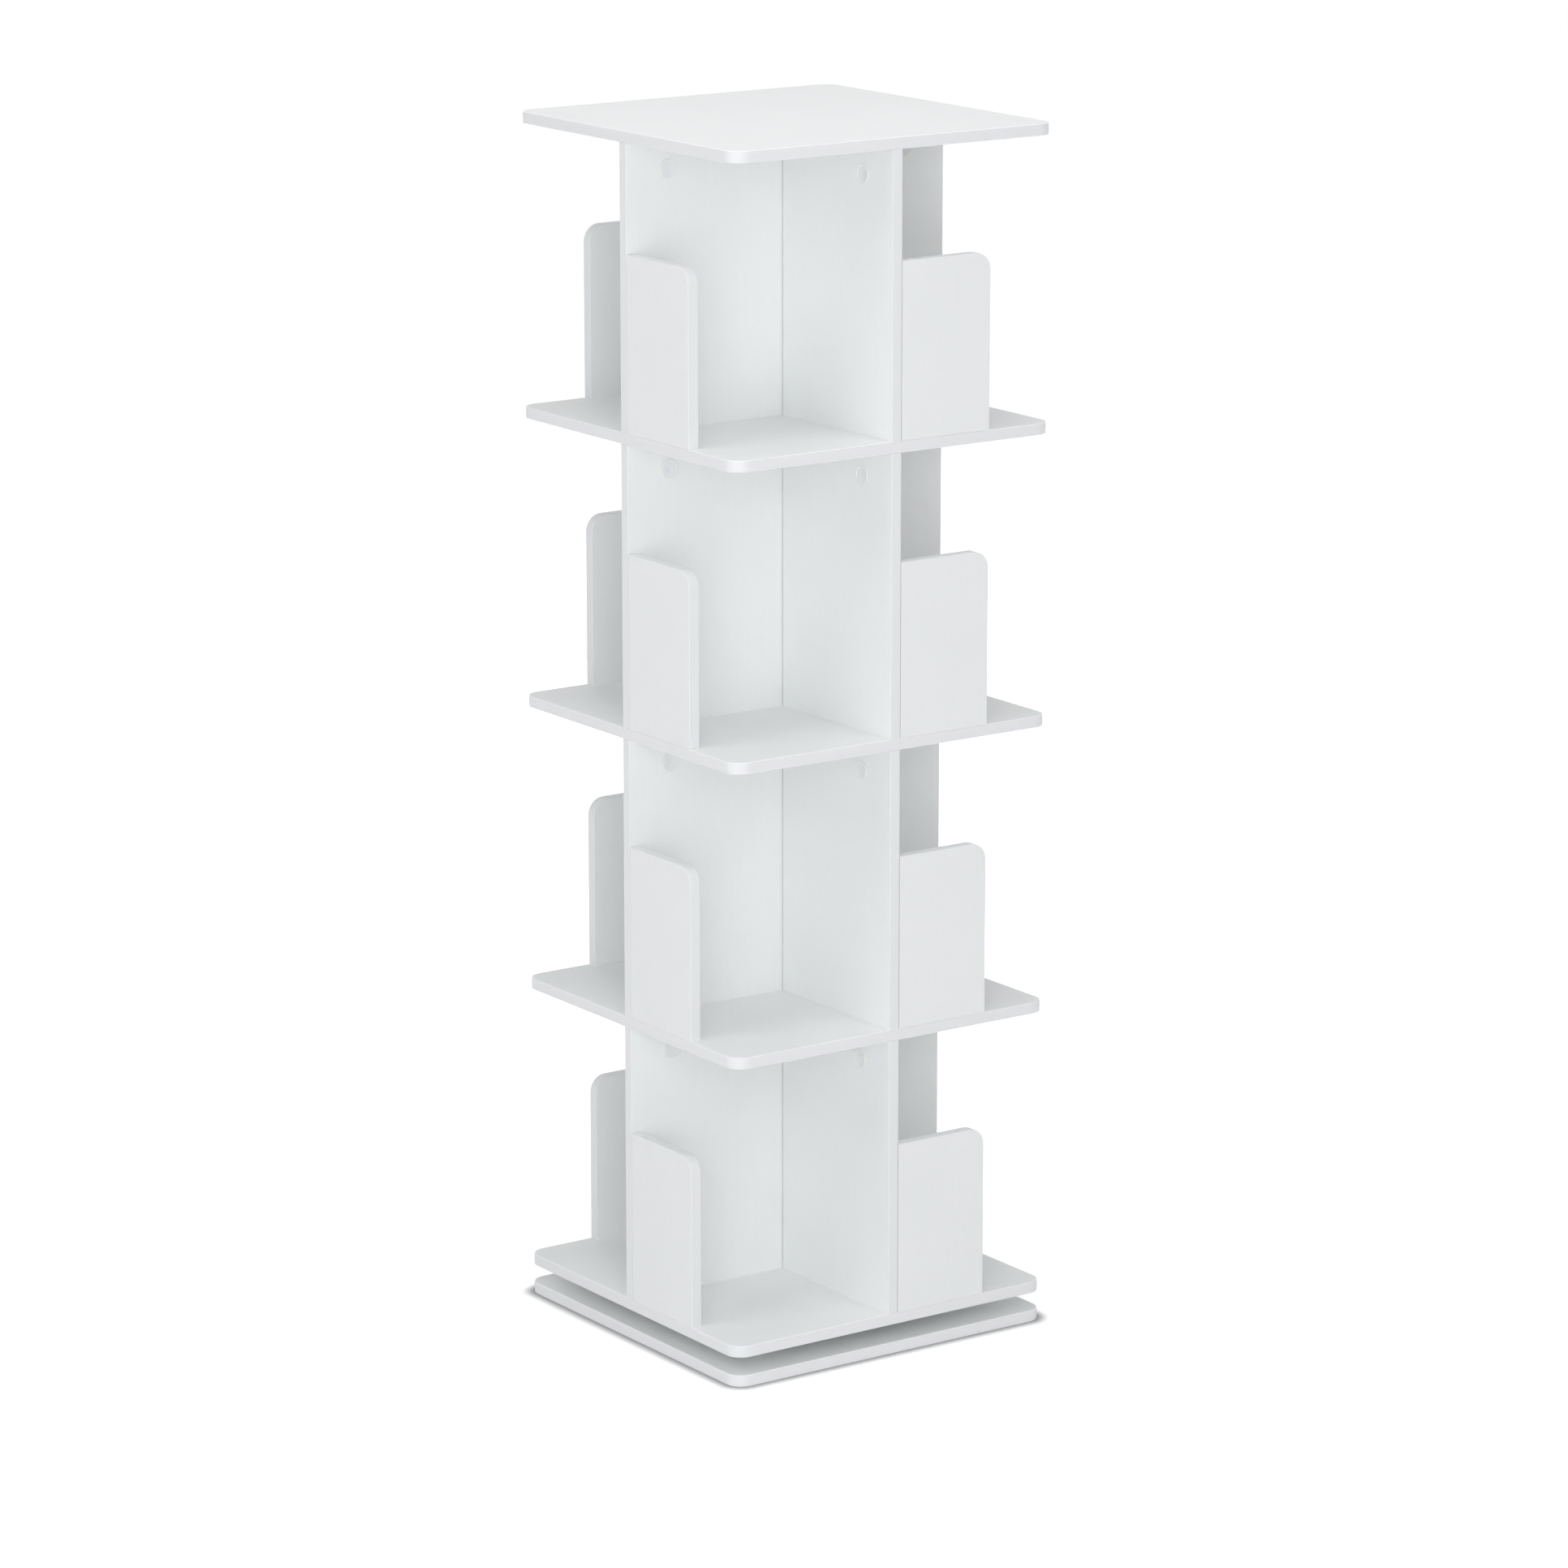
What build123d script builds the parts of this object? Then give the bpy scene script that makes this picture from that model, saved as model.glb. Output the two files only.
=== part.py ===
from build123d import *
import os
from math import sqrt

os.makedirs("parts", exist_ok=True)

# A revolving bookcase of laminated board: a square base, a ball-bearing turntable and tiers of open
# compartments around a cross of dividers. Lengths are in millimetres. The origin is the centre of the
# base's underside, +Z is up, and X and Y run along the sides of the plates.

# Boards
PLATE_SIDE = 390.0  # base, shelves and top, edge bands included
PLATE_CORNER = 18.0  # plan radius of their corners
BOARD = 12.0  # thickness of every board
TIER_CLEAR = 291.0  # clear height of a tier
TURNTABLE_CLEAR = 19.0  # clear height between the base and the lowest shelf
TIER_COUNT = 4

# Edge bands
BAND = 1.0  # thickness of the glued band
BAND_ARRIS = 0.8  # rounding of its outer edges

# Stops
STOP_LENGTH = 109.0  # from the divider's face to the free end
STOP_HEIGHT = 180.0
STOP_CORNER = 18.0  # radius of the free top corner

# Open seams between boards that butt
CROSS_SEAM = 0.8  # half divider to wide divider
STOP_SEAM = 0.4  # stop to divider

# Fits shared by the fasteners
FIT = 0.05  # radial clearance of a fastener in its hole
END_ROOM = 0.6  # room past the blind end of a fastener
OVERRUN = 1.0  # how far a cutter runs past the face that it cuts
DRIVE_LENGTH_SHARE = 1.1  # cross recess in a head, as shares of the head's radius
DRIVE_WIDTH_SHARE = 0.28
DRIVE_DEPTH_SHARE = 0.35

# Cam fittings at the tops of the dividers
CAM_INSET = 50.0  # from the divider's outer end to the cam's axis
CAM_DROP = 29.0  # from the plate above to the cam's axis
CAM_DIAMETER = 15.0
CAM_WALL = 2.0  # board left behind the cam
CAM_SINK = 0.4  # cam's face below the board's face
CAM_ROOM = 0.3  # clearance around the bolt inside the cam
BOLT_NECK_DIAMETER = 4.0
BOLT_HEAD_DIAMETER = 5.6
BOLT_HEAD_LENGTH = 4.0
BOLT_COLLAR_DIAMETER = 7.0
BOLT_COLLAR_LENGTH = 1.2
BOLT_THREAD_DIAMETER = 6.0
BOLT_COVER = 2.0  # board left above the bolt's thread
BOLT_BORE_GAP = 0.2  # around the bolt's collar in the bore down the divider's top edge
CAP_DIAMETER = 20.0
CAP_RIM_HEIGHT = 1.4
CAP_RIM_WIDTH = 1.6
CAP_FACE_HEIGHT = 0.9
CAP_ROUND = 0.4  # bevel of the rim's outer edge
CAP_PIN_DIAMETER = 3.0
CAP_PIN_LENGTH = 2.0

# Dowels
DOWEL_DIAMETER = 6.0
DOWEL_BEVEL = 0.8
DOWEL_BITE = 16.0  # length in the edge of a board
DOWEL_COVER = 3.5  # board left beyond a dowel in a board's face
DOWEL_INSET = 76.0  # top dowel, from the divider's outer end
CROSS_DOWEL_SHARES = (0.2, 0.5, 0.8)  # heights of the cross dowels, of the tier
STOP_DOWEL_SHARE = 0.7  # height of the stop's dowel, of the stop

# Wood screws through a shelf into what stands on it
SCREW_DIAMETER = 4.0
SCREW_HEAD_DIAMETER = 8.0
SCREW_BITE = 25.0  # length in the standing board
SCREW_TIP = 4.0
SCREW_SINK = 0.3  # head below the shelf's underside
OUTER_SCREW_INSET = 102.0  # from the divider's outer end
INNER_SCREW_SHARE = 0.16  # place along the divider's arm, from the centre
STOP_SCREW_INSET = 25.0  # from each end of the stop

# Turntable
BEARING_DIAMETER = 250.0  # outside of both pressed plates
SHEET = 2.0  # thickness of the pressed steel
PLATE_SPACING = 4.0  # between the raised faces of the two plates
FLANGE_WIDTH = 23.5  # flat rim outside the raised race, which takes the fixings
BALL_DIAMETER = 8.0
BALL_COUNT = 24
BALL_FIT = 0.25  # running clearance of a ball in its race
RACE_LAND = 4.0  # flat width beside the race
RISER_RUN = 4.0  # plan width of each sloping step
HUB_DIAMETER = 50.0
CAGE_THICKNESS = 2.4
CAGE_WIDTH = 15.0
CAGE_FIT = 0.15  # clearance of a ball in its pocket
PIVOT_DIAMETER = 16.0
PIVOT_BORE = 10.0
PIVOT_HEAD_DIAMETER = 26.0
PIVOT_HEAD_THICKNESS = 2.0
PIVOT_FIT = 0.08  # running clearance on the rivet, around it and under its upper head
WASHER_DIAMETER = 40.0
ACCESS_DIAMETER = 12.0  # screwdriver holes in the bearing plates
FIXING_COUNT = 4

# Fasteners of the turntable
BASE_SCREW_DIAMETER = 5.0
BASE_SCREW_GAP = 0.3  # around it in the base and in the bearing plates' fixing holes
BASE_SCREW_HEAD_DIAMETER = 9.2
BASE_SCREW_SINK = 0.5  # head below the base's underside
BASE_SCREW_END = 1.0  # thread standing out of the nut
NUT_SIDES = 6
NUT_FLATS = 8.0
NUT_HEIGHT = 4.0
SHELF_SCREW_DIAMETER = 4.0
SHELF_SCREW_HEAD_DIAMETER = 9.0
SHELF_SCREW_HEAD_HEIGHT = 2.4
SHELF_SCREW_CROWN_SHARES = (0.65, 0.45)  # flat of the head's crown, and height of its side
SHELF_SCREW_BITE = 8.0  # length in the lowest shelf

# Arms of the cross, in degrees from +X, and the face of each arm that its cam is let into
FULL_TURN = 360.0
HALF_TURN = FULL_TURN / 2
QUARTER_TURN = FULL_TURN / 4
WIDE_ARMS = (0.0, HALF_TURN)
HALF_ARMS = {"back": QUARTER_TURN, "front": HALF_TURN + QUARTER_TURN}
ARMS = (0.0, QUARTER_TURN, HALF_TURN, HALF_TURN + QUARTER_TURN)
STOP_NAMES = ("right", "back", "left", "front")
CAM_FACES = {0.0: -1, QUARTER_TURN: -1, HALF_TURN: 1, HALF_TURN + QUARTER_TURN: -1}

# Places that follow from the sizes above
ARM = PLATE_SIDE / 2
CAM_REACH = ARM - CAM_INSET
DOWEL_REACH = ARM - DOWEL_INSET
SCREW_REACHES = (ARM - OUTER_SCREW_INSET, ARM * INNER_SCREW_SHARE)
STOP_REACH = ARM - BOARD / 2
STOP_START = BOARD / 2 + STOP_SEAM
STOP_END = BOARD / 2 + STOP_LENGTH
STOP_SCREW_PLACES = (STOP_START + STOP_SCREW_INSET, STOP_END - STOP_SCREW_INSET)
PLATE_DOWEL_RISE = BOARD - DOWEL_COVER
BOLT_RISE = BOARD - BOLT_COVER
SHELF_UNDERSIDE = BOARD + TURNTABLE_CLEAR
TIER_PITCH = TIER_CLEAR + BOARD
TIER_FLOORS = [SHELF_UNDERSIDE + BOARD + tier * TIER_PITCH for tier in range(TIER_COUNT)]
TIERS = range(TIER_COUNT)


def save(name, shape):
    """Writes one sub-part; a list becomes a group of separate solids."""
    part = Compound(children=list(shape)) if isinstance(shape, list) else shape
    export_step(part, f"parts/{name}.step")


def turned(points):
    """A solid of revolution about Z from an outline of (radius, height) points."""
    outline = Polyline(*points, close=True)
    return revolve(Plane.XZ * make_face(outline), Axis.Z)


def on_arm(angle, shape):
    """Turns a shape modelled along +X onto the arm at this angle."""
    return Rot(0, 0, angle) * shape


def drilled(board, cutters):
    """Cuts holes in a board one after another."""
    for cutter in cutters:
        board -= cutter
    return board


def cross_recess(head_diameter):
    """Cutter for a cross recess that opens downwards at Z = 0."""
    radius = head_diameter / 2
    length = radius * DRIVE_LENGTH_SHARE
    width = radius * DRIVE_WIDTH_SHARE
    depth = radius * DRIVE_DEPTH_SHARE
    blade = Pos(0, 0, depth / 2 - OVERRUN / 2) * Box(length, width, depth + OVERRUN)
    return [blade, Rot(0, 0, QUARTER_TURN) * blade]


def countersunk(diameter, head_diameter, length, tip, gap=0.0):
    """A countersunk screw, or the hole for it: head at Z = 0, point upwards."""
    shank = diameter / 2
    head = head_diameter / 2
    end = length + END_ROOM if gap else length
    return turned(
        [
            (0, 0),
            (head + gap, 0),
            (shank + gap, head - shank),
            (shank + gap, end - tip),
            (0, end),
        ]
    )


def dowel(length, gap=0.0):
    """A dowel, or the hole for it, standing on Z = 0."""
    radius = DOWEL_DIAMETER / 2
    if gap:
        return extrude(Circle(radius + gap), length)
    return turned(
        [
            (0, 0),
            (radius - DOWEL_BEVEL, 0),
            (radius, DOWEL_BEVEL),
            (radius, length - DOWEL_BEVEL),
            (radius - DOWEL_BEVEL, length),
            (0, length),
        ]
    )


# Fasteners, each modelled once where it stands on the arm along +X; Z = 0 is the tier's floor


def wood_screw(gap=0.0):
    """A screw through a shelf, with its head let into the shelf's underside."""
    length = BOARD - SCREW_SINK + SCREW_BITE
    screw = countersunk(SCREW_DIAMETER, SCREW_HEAD_DIAMETER, length, SCREW_TIP, gap)
    if gap:
        entry = extrude(Circle(SCREW_HEAD_DIAMETER / 2 + gap), SCREW_SINK + OVERRUN)
        screw += Pos(0, 0, -SCREW_SINK - OVERRUN) * entry
    else:
        screw = drilled(screw, cross_recess(SCREW_HEAD_DIAMETER))
    return Pos(0, 0, SCREW_SINK - BOARD) * screw


def divider_screws(gap=0.0):
    return [Pos(reach, 0, 0) * wood_screw(gap) for reach in SCREW_REACHES]


def stop_screws(gap=0.0):
    return [Pos(STOP_REACH, place, 0) * wood_screw(gap) for place in STOP_SCREW_PLACES]


def top_dowel(gap=0.0):
    """The dowel between the divider's top edge and the plate above."""
    room = END_ROOM if gap else 0.0
    length = DOWEL_BITE + PLATE_DOWEL_RISE + 2 * room
    return Pos(DOWEL_REACH, 0, TIER_CLEAR - DOWEL_BITE - room) * dowel(length, gap)


def stop_dowel(gap=0.0):
    """The dowel between the stop's end and the divider's face."""
    room = END_ROOM if gap else 0.0
    start = BOARD / 2 - PLATE_DOWEL_RISE - room
    length = STOP_START + DOWEL_BITE + room - start
    lying = Rot(-QUARTER_TURN, 0, 0) * dowel(length, gap)
    return Pos(STOP_REACH, start, STOP_HEIGHT * STOP_DOWEL_SHARE) * lying


def cross_dowels(gap=0.0):
    """Dowels along Y that tie both half dividers through the wide one."""
    room = END_ROOM if gap else 0.0
    reach = BOARD / 2 + CROSS_SEAM + DOWEL_BITE + room
    lying = Pos(0, -reach, 0) * Rot(-QUARTER_TURN, 0, 0) * dowel(2 * reach, gap)
    return [Pos(0, 0, TIER_CLEAR * share) * lying for share in CROSS_DOWEL_SHARES]


def cam_bolt():
    """A bolt in the underside of the plate above, with its head in the cam."""
    neck = BOLT_NECK_DIAMETER / 2
    head = BOLT_HEAD_DIAMETER / 2
    collar = BOLT_COLLAR_DIAMETER / 2
    thread = BOLT_THREAD_DIAMETER / 2
    head_low = -CAM_DROP - BOLT_HEAD_LENGTH / 2
    head_high = -CAM_DROP + BOLT_HEAD_LENGTH / 2
    bolt = turned(
        [
            (0, head_low),
            (head, head_low),
            (head, head_high),
            (neck, head_high),
            (neck, -BOLT_COLLAR_LENGTH),
            (collar, -BOLT_COLLAR_LENGTH),
            (collar, 0),
            (thread, 0),
            (thread, BOLT_RISE),
            (0, BOLT_RISE),
        ]
    )
    return Pos(CAM_REACH, 0, TIER_CLEAR) * bolt


def bolt_hole():
    """The hole for the bolt's thread in the plate above."""
    hole = extrude(Circle(BOLT_THREAD_DIAMETER / 2 + FIT), BOLT_RISE + END_ROOM + OVERRUN)
    return Pos(CAM_REACH, 0, TIER_CLEAR - OVERRUN) * hole


def bolt_bore():
    """The bore down the divider's top edge, as far as the cam's axis."""
    bore = extrude(Circle(BOLT_COLLAR_DIAMETER / 2 + BOLT_BORE_GAP), CAM_DROP + OVERRUN)
    return Pos(CAM_REACH, 0, TIER_CLEAR - CAM_DROP) * bore


def at_cam(face, shape):
    """Moves a shape modelled at the cam's axis, +Z out of the face and +Y up, onto the arm."""
    facing = Rot(0, 0, QUARTER_TURN * (face + 1)) * Rot(QUARTER_TURN, 0, 0) * shape
    return Pos(CAM_REACH, face * BOARD / 2, TIER_CLEAR - CAM_DROP) * facing


def cam_pocket(face):
    depth = BOARD - CAM_WALL
    pocket = Pos(0, 0, -depth) * extrude(Circle(CAM_DIAMETER / 2 + FIT), depth + OVERRUN)
    return at_cam(face, pocket)


def cam_lock(face):
    """A drum with a cavity for the bolt's head and a slot for its neck."""
    depth = BOARD - CAM_WALL - CAM_SINK
    drum = Pos(0, 0, -CAM_SINK - depth) * extrude(Circle(CAM_DIAMETER / 2), depth)
    cavity_width = BOLT_HEAD_DIAMETER + 2 * CAM_ROOM
    cavity = Box(cavity_width, BOLT_HEAD_LENGTH + 2 * CAM_ROOM, cavity_width)
    slot_width = BOLT_NECK_DIAMETER + 2 * CAM_ROOM
    slot_length = CAM_DIAMETER / 2 + OVERRUN
    slot = Pos(0, slot_length / 2, 0) * Box(slot_width, slot_length, slot_width)
    pin_depth = CAP_PIN_LENGTH + END_ROOM
    pin_hole = Pos(0, 0, -pin_depth) * extrude(Circle(CAP_PIN_DIAMETER / 2 + FIT), pin_depth)
    recess = [Rot(HALF_TURN, 0, 0) * blade for blade in cross_recess(CAM_DIAMETER)]
    cutters = [Pos(0, 0, -BOARD / 2) * (cavity + slot), pin_hole]
    cutters += [Pos(0, 0, -CAM_SINK) * blade for blade in recess]
    return at_cam(face, drilled(drum, cutters))


def cam_cap(face):
    """A dished cap with a raised rim and a pin that plugs into the cam."""
    rim = CAP_DIAMETER / 2
    pin = CAP_PIN_DIAMETER / 2
    cap = turned(
        [
            (0, -CAP_PIN_LENGTH),
            (pin, -CAP_PIN_LENGTH),
            (pin, 0),
            (rim, 0),
            (rim, CAP_RIM_HEIGHT - CAP_ROUND),
            (rim - CAP_ROUND, CAP_RIM_HEIGHT),
            (rim - CAP_RIM_WIDTH, CAP_RIM_HEIGHT),
            (rim - CAP_RIM_WIDTH - CAP_ROUND, CAP_FACE_HEIGHT),
            (0, CAP_FACE_HEIGHT),
        ]
    )
    return at_cam(face, cap)


# Boards of one tier, on the tier's floor at Z = 0


def divider_cutters(angle):
    """Holes that one arm of a divider needs."""
    cutters = [cam_pocket(CAM_FACES[angle]), bolt_bore(), top_dowel(FIT), stop_dowel(FIT)]
    cutters += divider_screws(FIT)
    return cutters


def wide_divider():
    """The full-width board of the cross, along X."""
    board = extrude(Rectangle(PLATE_SIDE - 2 * BAND, BOARD), TIER_CLEAR)
    cutters = cross_dowels(FIT)
    for angle in WIDE_ARMS:
        cutters += [on_arm(angle, cutter) for cutter in divider_cutters(angle)]
    return drilled(board, cutters)


def half_divider(angle):
    """A half-width board of the cross, modelled along +X and turned onto its arm."""
    start = BOARD / 2 + CROSS_SEAM
    length = ARM - BAND - start
    board = Pos(start + length / 2, 0, 0) * extrude(Rectangle(length, BOARD), TIER_CLEAR)
    along_x = [Rot(0, 0, QUARTER_TURN) * cutter for cutter in cross_dowels(FIT)]
    return on_arm(angle, drilled(board, divider_cutters(angle) + along_x))


def divider_band():
    """The band on a divider's outer end, rounded on its two outer edges."""
    strip = Pos(ARM - BAND / 2, 0, 0) * Rectangle(BAND, BOARD)
    strip = fillet(strip.vertices().group_by(Axis.X)[-1], BAND_ARRIS)
    return extrude(strip, TIER_CLEAR)


def stop_outline(inset):
    """A stop seen from outside: X from the divider's face, Y up, less an inset at the banded edges."""
    end = STOP_LENGTH - inset
    top = STOP_HEIGHT - inset
    radius = STOP_CORNER - inset
    sides = Polyline((end, top - radius), (end, 0), (STOP_SEAM, 0), (STOP_SEAM, top), (end - radius, top))
    corner = RadiusArc((end - radius, top), (end, top - radius), radius)
    return make_face(Curve() + [sides, corner])


def stand_stop(shape):
    """Stands a stop modelled flat, inner face down, on the arm along +X with its face at the edge."""
    upright = Rot(0, 0, QUARTER_TURN) * Rot(QUARTER_TURN, 0, 0) * shape
    return Pos(ARM - BOARD, BOARD / 2, 0) * upright


def stop_panel():
    board = stand_stop(extrude(stop_outline(BAND), BOARD))
    return drilled(board, stop_screws(FIT) + [stop_dowel(FIT)])


def stop_band():
    """The band along a stop's free end and top, rounded on its outer edges."""
    blank = extrude(stop_outline(0), BOARD)
    rims = [blank.faces().sort_by(Axis.Z)[0], blank.faces().sort_by(Axis.Z)[-1]]
    edges = [edge for rim in rims for edge in rim.edges()]
    banded = [edge for edge in edges if edge.center().X > STOP_SEAM + BAND and edge.center().Y > BAND]
    return stand_stop(fillet(banded, BAND_ARRIS) - extrude(stop_outline(BAND), BOARD))


# Plates, with their undersides at Z = 0


def plate_blank(inset):
    side = PLATE_SIDE - 2 * inset
    return extrude(RectangleRounded(side, side, PLATE_CORNER - inset), BOARD)


def plate_band():
    """The band around a plate, rounded on its outer edges."""
    blank = plate_blank(0)
    rims = [blank.faces().sort_by(Axis.Z)[0], blank.faces().sort_by(Axis.Z)[-1]]
    rounded = fillet([edge for rim in rims for edge in rim.edges()], BAND_ARRIS)
    return rounded - plate_blank(BAND)


def carrier_cutters():
    """Holes in a shelf for the screws into the dividers and stops that stand on it."""
    screws = divider_screws(FIT) + stop_screws(FIT)
    return [Pos(0, 0, BOARD) * on_arm(angle, screw) for angle in ARMS for screw in screws]


def cover_cutters():
    """Holes in the underside of a plate for the bolts and dowels of the tier below it."""
    pins = [Pos(0, 0, -TIER_CLEAR) * pin for pin in (bolt_hole(), top_dowel(FIT))]
    return [on_arm(angle, pin) for angle in ARMS for pin in pins]


def fixing_places(offset):
    """Places of the turntable's fixings, on the middle of the bearing plates' flanges."""
    return PolarLocations(FIXING_RADIUS, FIXING_COUNT, offset)


def base_plate():
    hole = countersunk(BASE_SCREW_DIAMETER, BASE_SCREW_HEAD_DIAMETER, BOARD + OVERRUN, 0.0, BASE_SCREW_GAP)
    sunk = Pos(0, 0, BASE_SCREW_SINK) * hole
    entry = extrude(Circle(BASE_SCREW_HEAD_DIAMETER / 2 + BASE_SCREW_GAP), BASE_SCREW_SINK)
    cutters = [place * cutter for place in fixing_places(0) for cutter in (sunk, entry)]
    return drilled(plate_blank(BAND), cutters)


def lowest_shelf():
    pilot = extrude(Circle(SHELF_SCREW_DIAMETER / 2 + FIT), SHELF_SCREW_BITE + END_ROOM)
    pilots = [place * pilot for place in fixing_places(FIXING_OFFSET)]
    return drilled(plate_blank(BAND), carrier_cutters() + pilots)


def middle_shelf():
    return drilled(plate_blank(BAND), carrier_cutters() + cover_cutters())


def top_panel():
    return drilled(plate_blank(BAND), cover_cutters())


# Turntable, with the base's top at Z = 0

BALL_RADIUS = BALL_DIAMETER / 2
MID_HEIGHT = TURNTABLE_CLEAR / 2
RAISED = MID_HEIGHT - PLATE_SPACING / 2
RACE_RADIUS = BALL_RADIUS + BALL_FIT
RACE_HALF = sqrt(RACE_RADIUS**2 - (PLATE_SPACING / 2) ** 2)
UNDER_HALF = sqrt((RACE_RADIUS + SHEET) ** 2 - (PLATE_SPACING / 2 + SHEET) ** 2)
LAND_HALF = RACE_HALF + RACE_LAND
STEP_HALF = LAND_HALF + RISER_RUN
BALL_CIRCLE_DIAMETER = BEARING_DIAMETER - 2 * (FLANGE_WIDTH + STEP_HALF)
RACE_CENTRE = BALL_CIRCLE_DIAMETER / 2
FIXING_RADIUS = BEARING_DIAMETER / 2 - FLANGE_WIDTH / 2
FIXING_OFFSET = FULL_TURN / FIXING_COUNT / 2


def bearing_plate():
    """A pressing with a raised hub, a raised ball race and a flat flange, standing on Z = 0."""
    hub = HUB_DIAMETER / 2
    hole = PIVOT_DIAMETER / 2 + PIVOT_FIT
    rim = BEARING_DIAMETER / 2
    top_inner = Polyline(
        (hole, RAISED),
        (hub, RAISED),
        (hub + RISER_RUN, SHEET),
        (RACE_CENTRE - STEP_HALF, SHEET),
        (RACE_CENTRE - LAND_HALF, RAISED),
        (RACE_CENTRE - RACE_HALF, RAISED),
    )
    race = ThreePointArc(
        (RACE_CENTRE - RACE_HALF, RAISED),
        (RACE_CENTRE, MID_HEIGHT - RACE_RADIUS),
        (RACE_CENTRE + RACE_HALF, RAISED),
    )
    top_outer = Polyline(
        (RACE_CENTRE + RACE_HALF, RAISED),
        (RACE_CENTRE + LAND_HALF, RAISED),
        (RACE_CENTRE + STEP_HALF, SHEET),
        (rim, SHEET),
        (rim, 0),
        (RACE_CENTRE + STEP_HALF, 0),
        (RACE_CENTRE + LAND_HALF, RAISED - SHEET),
        (RACE_CENTRE + UNDER_HALF, RAISED - SHEET),
    )
    under_race = ThreePointArc(
        (RACE_CENTRE + UNDER_HALF, RAISED - SHEET),
        (RACE_CENTRE, MID_HEIGHT - RACE_RADIUS - SHEET),
        (RACE_CENTRE - UNDER_HALF, RAISED - SHEET),
    )
    under_inner = Polyline(
        (RACE_CENTRE - UNDER_HALF, RAISED - SHEET),
        (RACE_CENTRE - LAND_HALF, RAISED - SHEET),
        (RACE_CENTRE - STEP_HALF, 0),
        (hub + RISER_RUN, 0),
        (hub, RAISED - SHEET),
        (hole, RAISED - SHEET),
        (hole, RAISED),
    )
    section = make_face(Curve() + [top_inner, race, top_outer, under_race, under_inner])
    plate = revolve(Plane.XZ * section, Axis.Z)
    fixing = extrude(Circle(BASE_SCREW_DIAMETER / 2 + BASE_SCREW_GAP), SHEET)
    access = extrude(Circle(ACCESS_DIAMETER / 2), SHEET)
    holes = [place * fixing for place in fixing_places(0)]
    holes += [place * access for place in fixing_places(FIXING_OFFSET)]
    return drilled(plate, holes)


def upper_bearing_plate():
    """The same pressing turned over, with its fixings above the lower plate's access holes."""
    turned_over = Rot(HALF_TURN, 0, FIXING_OFFSET) * bearing_plate()
    return Pos(0, 0, TURNTABLE_CLEAR) * turned_over


def bearing_balls():
    ball = Pos(0, 0, MID_HEIGHT) * Sphere(BALL_RADIUS)
    return [place * ball for place in PolarLocations(RACE_CENTRE, BALL_COUNT)]


def ball_cage():
    """A flat ring with a round pocket for each ball."""
    ring = Circle(RACE_CENTRE + CAGE_WIDTH / 2) - Circle(RACE_CENTRE - CAGE_WIDTH / 2)
    pockets = PolarLocations(RACE_CENTRE, BALL_COUNT) * Circle(BALL_RADIUS + CAGE_FIT)
    return Pos(0, 0, MID_HEIGHT - CAGE_THICKNESS / 2) * extrude(ring - pockets, CAGE_THICKNESS)


def pivot_rivet():
    """A hollow rivet with a head under the lower hub and one above the upper hub."""
    bore = PIVOT_BORE / 2
    shank = PIVOT_DIAMETER / 2
    head = PIVOT_HEAD_DIAMETER / 2
    low = RAISED - SHEET
    high = TURNTABLE_CLEAR - low + PIVOT_FIT
    return turned(
        [
            (bore, low - PIVOT_HEAD_THICKNESS),
            (head, low - PIVOT_HEAD_THICKNESS),
            (head, low),
            (shank, low),
            (shank, high),
            (head, high),
            (head, high + PIVOT_HEAD_THICKNESS),
            (bore, high + PIVOT_HEAD_THICKNESS),
        ]
    )


def pivot_washer():
    """A spacer on the lower hub, with running clearance to the upper one."""
    ring = Circle(WASHER_DIAMETER / 2) - Circle(PIVOT_DIAMETER / 2 + PIVOT_FIT)
    return Pos(0, 0, RAISED) * extrude(ring, PLATE_SPACING - PIVOT_FIT)


def base_screws():
    """Machine screws from under the base, through the lower plate and its nuts."""
    length = BOARD + SHEET + NUT_HEIGHT + BASE_SCREW_END - BASE_SCREW_SINK
    screw = countersunk(BASE_SCREW_DIAMETER, BASE_SCREW_HEAD_DIAMETER, length, 0.0)
    screw = drilled(screw, cross_recess(BASE_SCREW_HEAD_DIAMETER))
    return [place * Pos(0, 0, BASE_SCREW_SINK - BOARD) * screw for place in fixing_places(0)]


def weld_nuts():
    hexagon = RegularPolygon(NUT_FLATS / 2, NUT_SIDES, major_radius=False)
    nut = extrude(hexagon - Circle(BASE_SCREW_DIAMETER / 2 + FIT), NUT_HEIGHT)
    return [place * Pos(0, 0, SHEET) * nut for place in fixing_places(0)]


def shelf_screws():
    """Round-headed wood screws up through the upper plate into the lowest shelf."""
    shank = SHELF_SCREW_DIAMETER / 2
    head = SHELF_SCREW_HEAD_DIAMETER / 2
    high = SHEET + SHELF_SCREW_BITE
    flat_share, side_share = SHELF_SCREW_CROWN_SHARES
    screw = turned(
        [
            (0, -SHELF_SCREW_HEAD_HEIGHT),
            (head * flat_share, -SHELF_SCREW_HEAD_HEIGHT),
            (head, -SHELF_SCREW_HEAD_HEIGHT * side_share),
            (head, 0),
            (shank, 0),
            (shank, high - SHELF_SCREW_DIAMETER),
            (0, high),
        ]
    )
    recess = [Pos(0, 0, -SHELF_SCREW_HEAD_HEIGHT) * blade for blade in cross_recess(SHELF_SCREW_DIAMETER)]
    screw = drilled(screw, recess)
    seat = Pos(0, 0, TURNTABLE_CLEAR - SHEET)
    return [place * seat * screw for place in fixing_places(FIXING_OFFSET)]


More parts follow.
